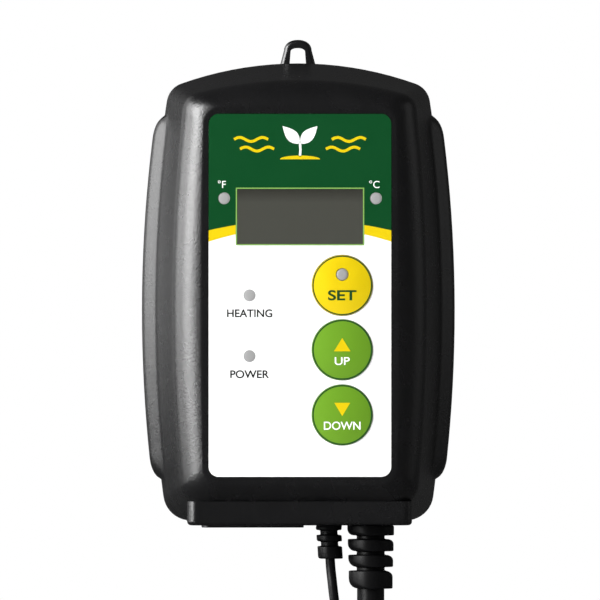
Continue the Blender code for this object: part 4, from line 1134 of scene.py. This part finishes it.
def plug(look):
    """Moulded plug with a grooved sleeve, a waist for the fingers, two blades and a ground pin."""
    low, high = box_mm("plug_body")
    x, y = (low.x + high.x) / 2, (low.y + high.y) / 2
    shape = [(4.9, 4.9, PLUG_TOP), (6.4, 6.4, PLUG_BODY_TOP + 1), (10.5, 9.0, PLUG_BODY_TOP - 2),
             (11.4, 9.8, PLUG_BODY_TOP - 8), (10.4, 9.2, PLUG_BODY_TOP - 14),
             (PLUG_HALF_X, PLUG_HALF_Y, PLUG_BODY_BOTTOM + 5),
             (PLUG_HALF_X, PLUG_HALF_Y, PLUG_BODY_BOTTOM + 0.8),
             (PLUG_HALF_X - 0.8, PLUG_HALF_Y - 0.8, PLUG_BODY_BOTTOM)]
    heights = np.array([s[2] for s in shape][::-1])
    half_xs, half_ys = (np.array([s[k] for s in shape][::-1]) for k in (0, 1))
    bm = bmesh.new()
    rings = []
    for z in [PLUG_TOP - i * (PLUG_TOP - PLUG_BODY_BOTTOM) / 64 for i in range(65)]:
        near = [z + 0.9 * k for k in (-1, -0.5, 0, 0.5, 1)]
        hx = float(np.mean([np.interp(v, heights, half_xs) for v in near]))
        hy = float(np.mean([np.interp(v, heights, half_ys) for v in near]))
        radius = min(hx, hy) * (0.95 if z > PLUG_BODY_TOP else 0.55)
        if PLUG_BODY_TOP - 3 < z < PLUG_BODY_TOP:
            radius = min(hx, hy) * (0.55 + 0.4 * (z - PLUG_BODY_TOP + 3) / 3)
        rings.append([(px, py, z) for px, py in rounded_rectangle(x, y, hx, hy, radius, 10)])
    add_loft(bm, rings)
    body = piece("plug_moulding", bm, look["rubber"], "plug_body")
    bm = bmesh.new()
    for i in range(4):
        z = PLUG_TOP - 2.6 - 3.3 * i
        for side in (-1, 1):
            y_in, y_out = y + side * 3.9, y + side * 12
            add_box(bm, (x - 9, min(y_in, y_out), z - 1.1), (x + 9, max(y_in, y_out), z))
    for i in range(5):
        z = PLUG_BODY_TOP - 8.5 - 2.6 * i
        for side in (-1, 1):
            x_in, x_out = x + side * 10.1, x + side * 14
            add_box(bm, (min(x_in, x_out), y - 4.6, z - 0.9), (max(x_in, x_out), y + 4.6, z))
    carve(body, bm)
    soften(body, 0.25, 2, 45)
    return [body] + plug_blades(look)


def plug_blades(look):
    made = []
    for name in ("line", "neutral"):
        low, high = box_mm("plug_blade_" + name)
        mid = (low + high) / 2
        bm = bmesh.new()
        outline = [(low.y, high.z), (low.y, low.z + BLADE_TAPER), (low.y + BLADE_TAPER, low.z),
                   (high.y - BLADE_TAPER, low.z), (high.y, low.z + BLADE_TAPER), (high.y, high.z)]
        add_loft(bm, [[(x, y, z) for y, z in outline] for x in (low.x, high.x)])
        blade = piece("plug_contact_" + name, bm, look["brass"], "plug_blade_" + name)
        bm = bmesh.new()
        hole_z = low.z + BLADE_HOLE_RISE
        add_rod(bm, (low.x - 1, mid.y, hole_z), (high.x + 1, mid.y, hole_z), BLADE_HOLE)
        carve(blade, bm)
        soften(blade, 0.18)
        made.append(blade)
    low, high = box_mm("plug_ground_pin")
    mid, r = (low + high) / 2, (high.x - low.x) / 2
    bm = bmesh.new()
    profile = [(r, high.z), (r, low.z + r)]
    profile += [(max(r * math.cos(a), 0.15), low.z + r - r * math.sin(a)) for a in quarter(8)[1:]]
    add_turned(bm, (mid.x, mid.y), profile)
    return made + [piece("plug_contact_ground", bm, look["brass"], "plug_ground_pin")]


def probe_tip(look):
    """Steel sensor sleeve, rolled in at both ends and crimped twice around the lead."""
    low, high = box_mm("probe_tip")
    mid, r = (low + high) / 2, (high.x - low.x) / 2
    profile = [(PROBE_D / 2 - 0.1, high.z), (r - 0.35, high.z), (r - 0.1, high.z - 0.15),
               (r, high.z - 0.5)]
    for groove in (4.0, 7.5):
        profile += [(r, high.z - groove), (r - 0.35, high.z - groove - 0.45),
                    (r - 0.35, high.z - groove - 0.9), (r, high.z - groove - 1.35)]
    profile += [(r * math.cos(a), low.z + 1.6 - 1.6 * math.sin(a)) for a in quarter(8)[:-1]]
    profile += [(0.3, low.z)]
    bm = bmesh.new()
    add_turned(bm, (mid.x, mid.y), profile, sides=64)
    return [piece("probe_sensor_sleeve", bm, look["steel"], "probe_tip")]


# ---------------------------------------------------------------- back and underside

BLADE_SPACING = 12.7


def outlet(look):
    """Outlet insert with softened slots, over its contacts."""
    low, high = box_mm("outlet_insert")
    flange_z = level(WALL + GAP)
    middle, y = (low.x + high.x) / 2, high.y - OUTLET_HALF_Y
    blades_y = y - 4.5
    bm = bmesh.new()
    add_post(bm, rounded_rectangle(middle, y, OUTLET_HALF_X, OUTLET_HALF_Y, 2.0), low.z, high.z)
    insert = piece("outlet_face", bm, look["case"], "outlet_insert")
    bm = bmesh.new()
    add_box(bm, (low.x, low.y, flange_z), (high.x, high.y - 0.5, flange_z + 2))
    carve(insert, bm, "UNION")
    bm = bmesh.new()
    for side, half in ((-1, 3.15), (1, 4.0)):
        x = middle + side * BLADE_SPACING / 2
        add_box(bm, (x - 1.1, blades_y - half, low.z - 1), (x + 1.1, blades_y + half, level(3.2)))
    carve(insert, bm)
    bm = bmesh.new()
    for side in (-1, 1):
        x = middle + side * BLADE_SPACING / 2
        add_box(bm, (x - 1.9, blades_y - 4.6, level(3)), (x + 1.9, blades_y + 4.6, high.z + 1.5))
    ground_y = blades_y + 11.9
    add_rod(bm, (middle, ground_y, low.z - 1), (middle, ground_y, high.z + 1.5), 2.75)
    carve(insert, bm)
    soften(insert, 0.3)


def cover_screws(look):
    """Pan heads with a cross recess, over their plain shanks."""
    for name in ("lower_left", "lower_right", "upper_left", "upper_right"):
        low, high = box_mm("cover_screw_" + name)
        mid, r = (low + high) / 2, (high.x - low.x) / 2
        bm = bmesh.new()
        profile = [(1.4, low.y), (1.4, high.y - 2.2), (r, high.y - 2.2), (r, high.y - 1.2)]
        profile += [(r - 1.1 + 1.1 * math.cos(a), high.y - 1.2 + 1.2 * math.sin(a))
                    for a in quarter(6)[1:]]
        add_turned(bm, (mid.x, mid.z), profile, "y")
        head = piece("screw_" + name, bm, look["steel"], "cover_screw_" + name)
        for half_x, half_z in ((1.45, 0.32), (0.32, 1.45)):
            bm = bmesh.new()
            add_box(bm, (mid.x - half_x, high.y - 1.3, mid.z - half_z),
                    (mid.x + half_x, high.y + 1, mid.z + half_z))
            carve(head, bm)
        soften(head, 0.08)


def rating_plate(look):
    low, high = box_mm("rating_label")
    mid, half = (low + high) / 2, (high - low) / 2
    bm = bmesh.new()
    add_plate(bm, rounded_rectangle(mid.x, mid.z, half.x, half.z, 1.7), low.y, high.y)
    plate = piece("rating_film", bm, look["silver"], "rating_label")
    soften(plate, 0.06)
    bm = bmesh.new()
    outer = rounded_rectangle(mid.x, mid.z, half.x - 1.2, half.z - 1.2, 0.9)
    inner = rounded_rectangle(mid.x, mid.z, half.x - 1.6, half.z - 1.6, 0.6)
    add_ring_plate(bm, outer, inner, high.y, high.y + PRINT)
    piece("rating_border", bm, look["black"])
    bm = bmesh.new()
    for row in range(3):
        z = mid.z + 5.2 - 5.2 * row
        add_plate(bm, rounded_rectangle(mid.x, z, half.x - 4, 0.14, 0.1), high.y, high.y + PRINT)
    piece("rating_rules", bm, look["black"])


def finish_inner_nodes(look):
    """Detailed materials for the CAD nodes that stay as they are."""
    kinds = (("contact_", "brass"), ("screw", "steel"), ("board", "board"), ("pipe", "lamp"),
             ("led", "lamp"), ("display", "component"))
    for name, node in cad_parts.items():
        kind = next((made for word, made in kinds if word in name), "component")
        node.data.materials.clear()
        node.data.materials.append(look[kind])


def build():
    camera()
    look = make_materials()
    mains, probe = cords(look)
    straps = ties(look)
    plug(look)
    probe_tip(look)
    studio()
    floor()
    front_cover(look)
    rear_cover(look)
    seam_lip(look)
    film(look)
    header(look)
    window(look)
    emblem(look)
    legends(look)
    keys(look)
    lamps(look)
    sleeves(look)
    outlet(look)
    cover_screws(look)
    rating_plate(look)
    finish_inner_nodes(look)


build()
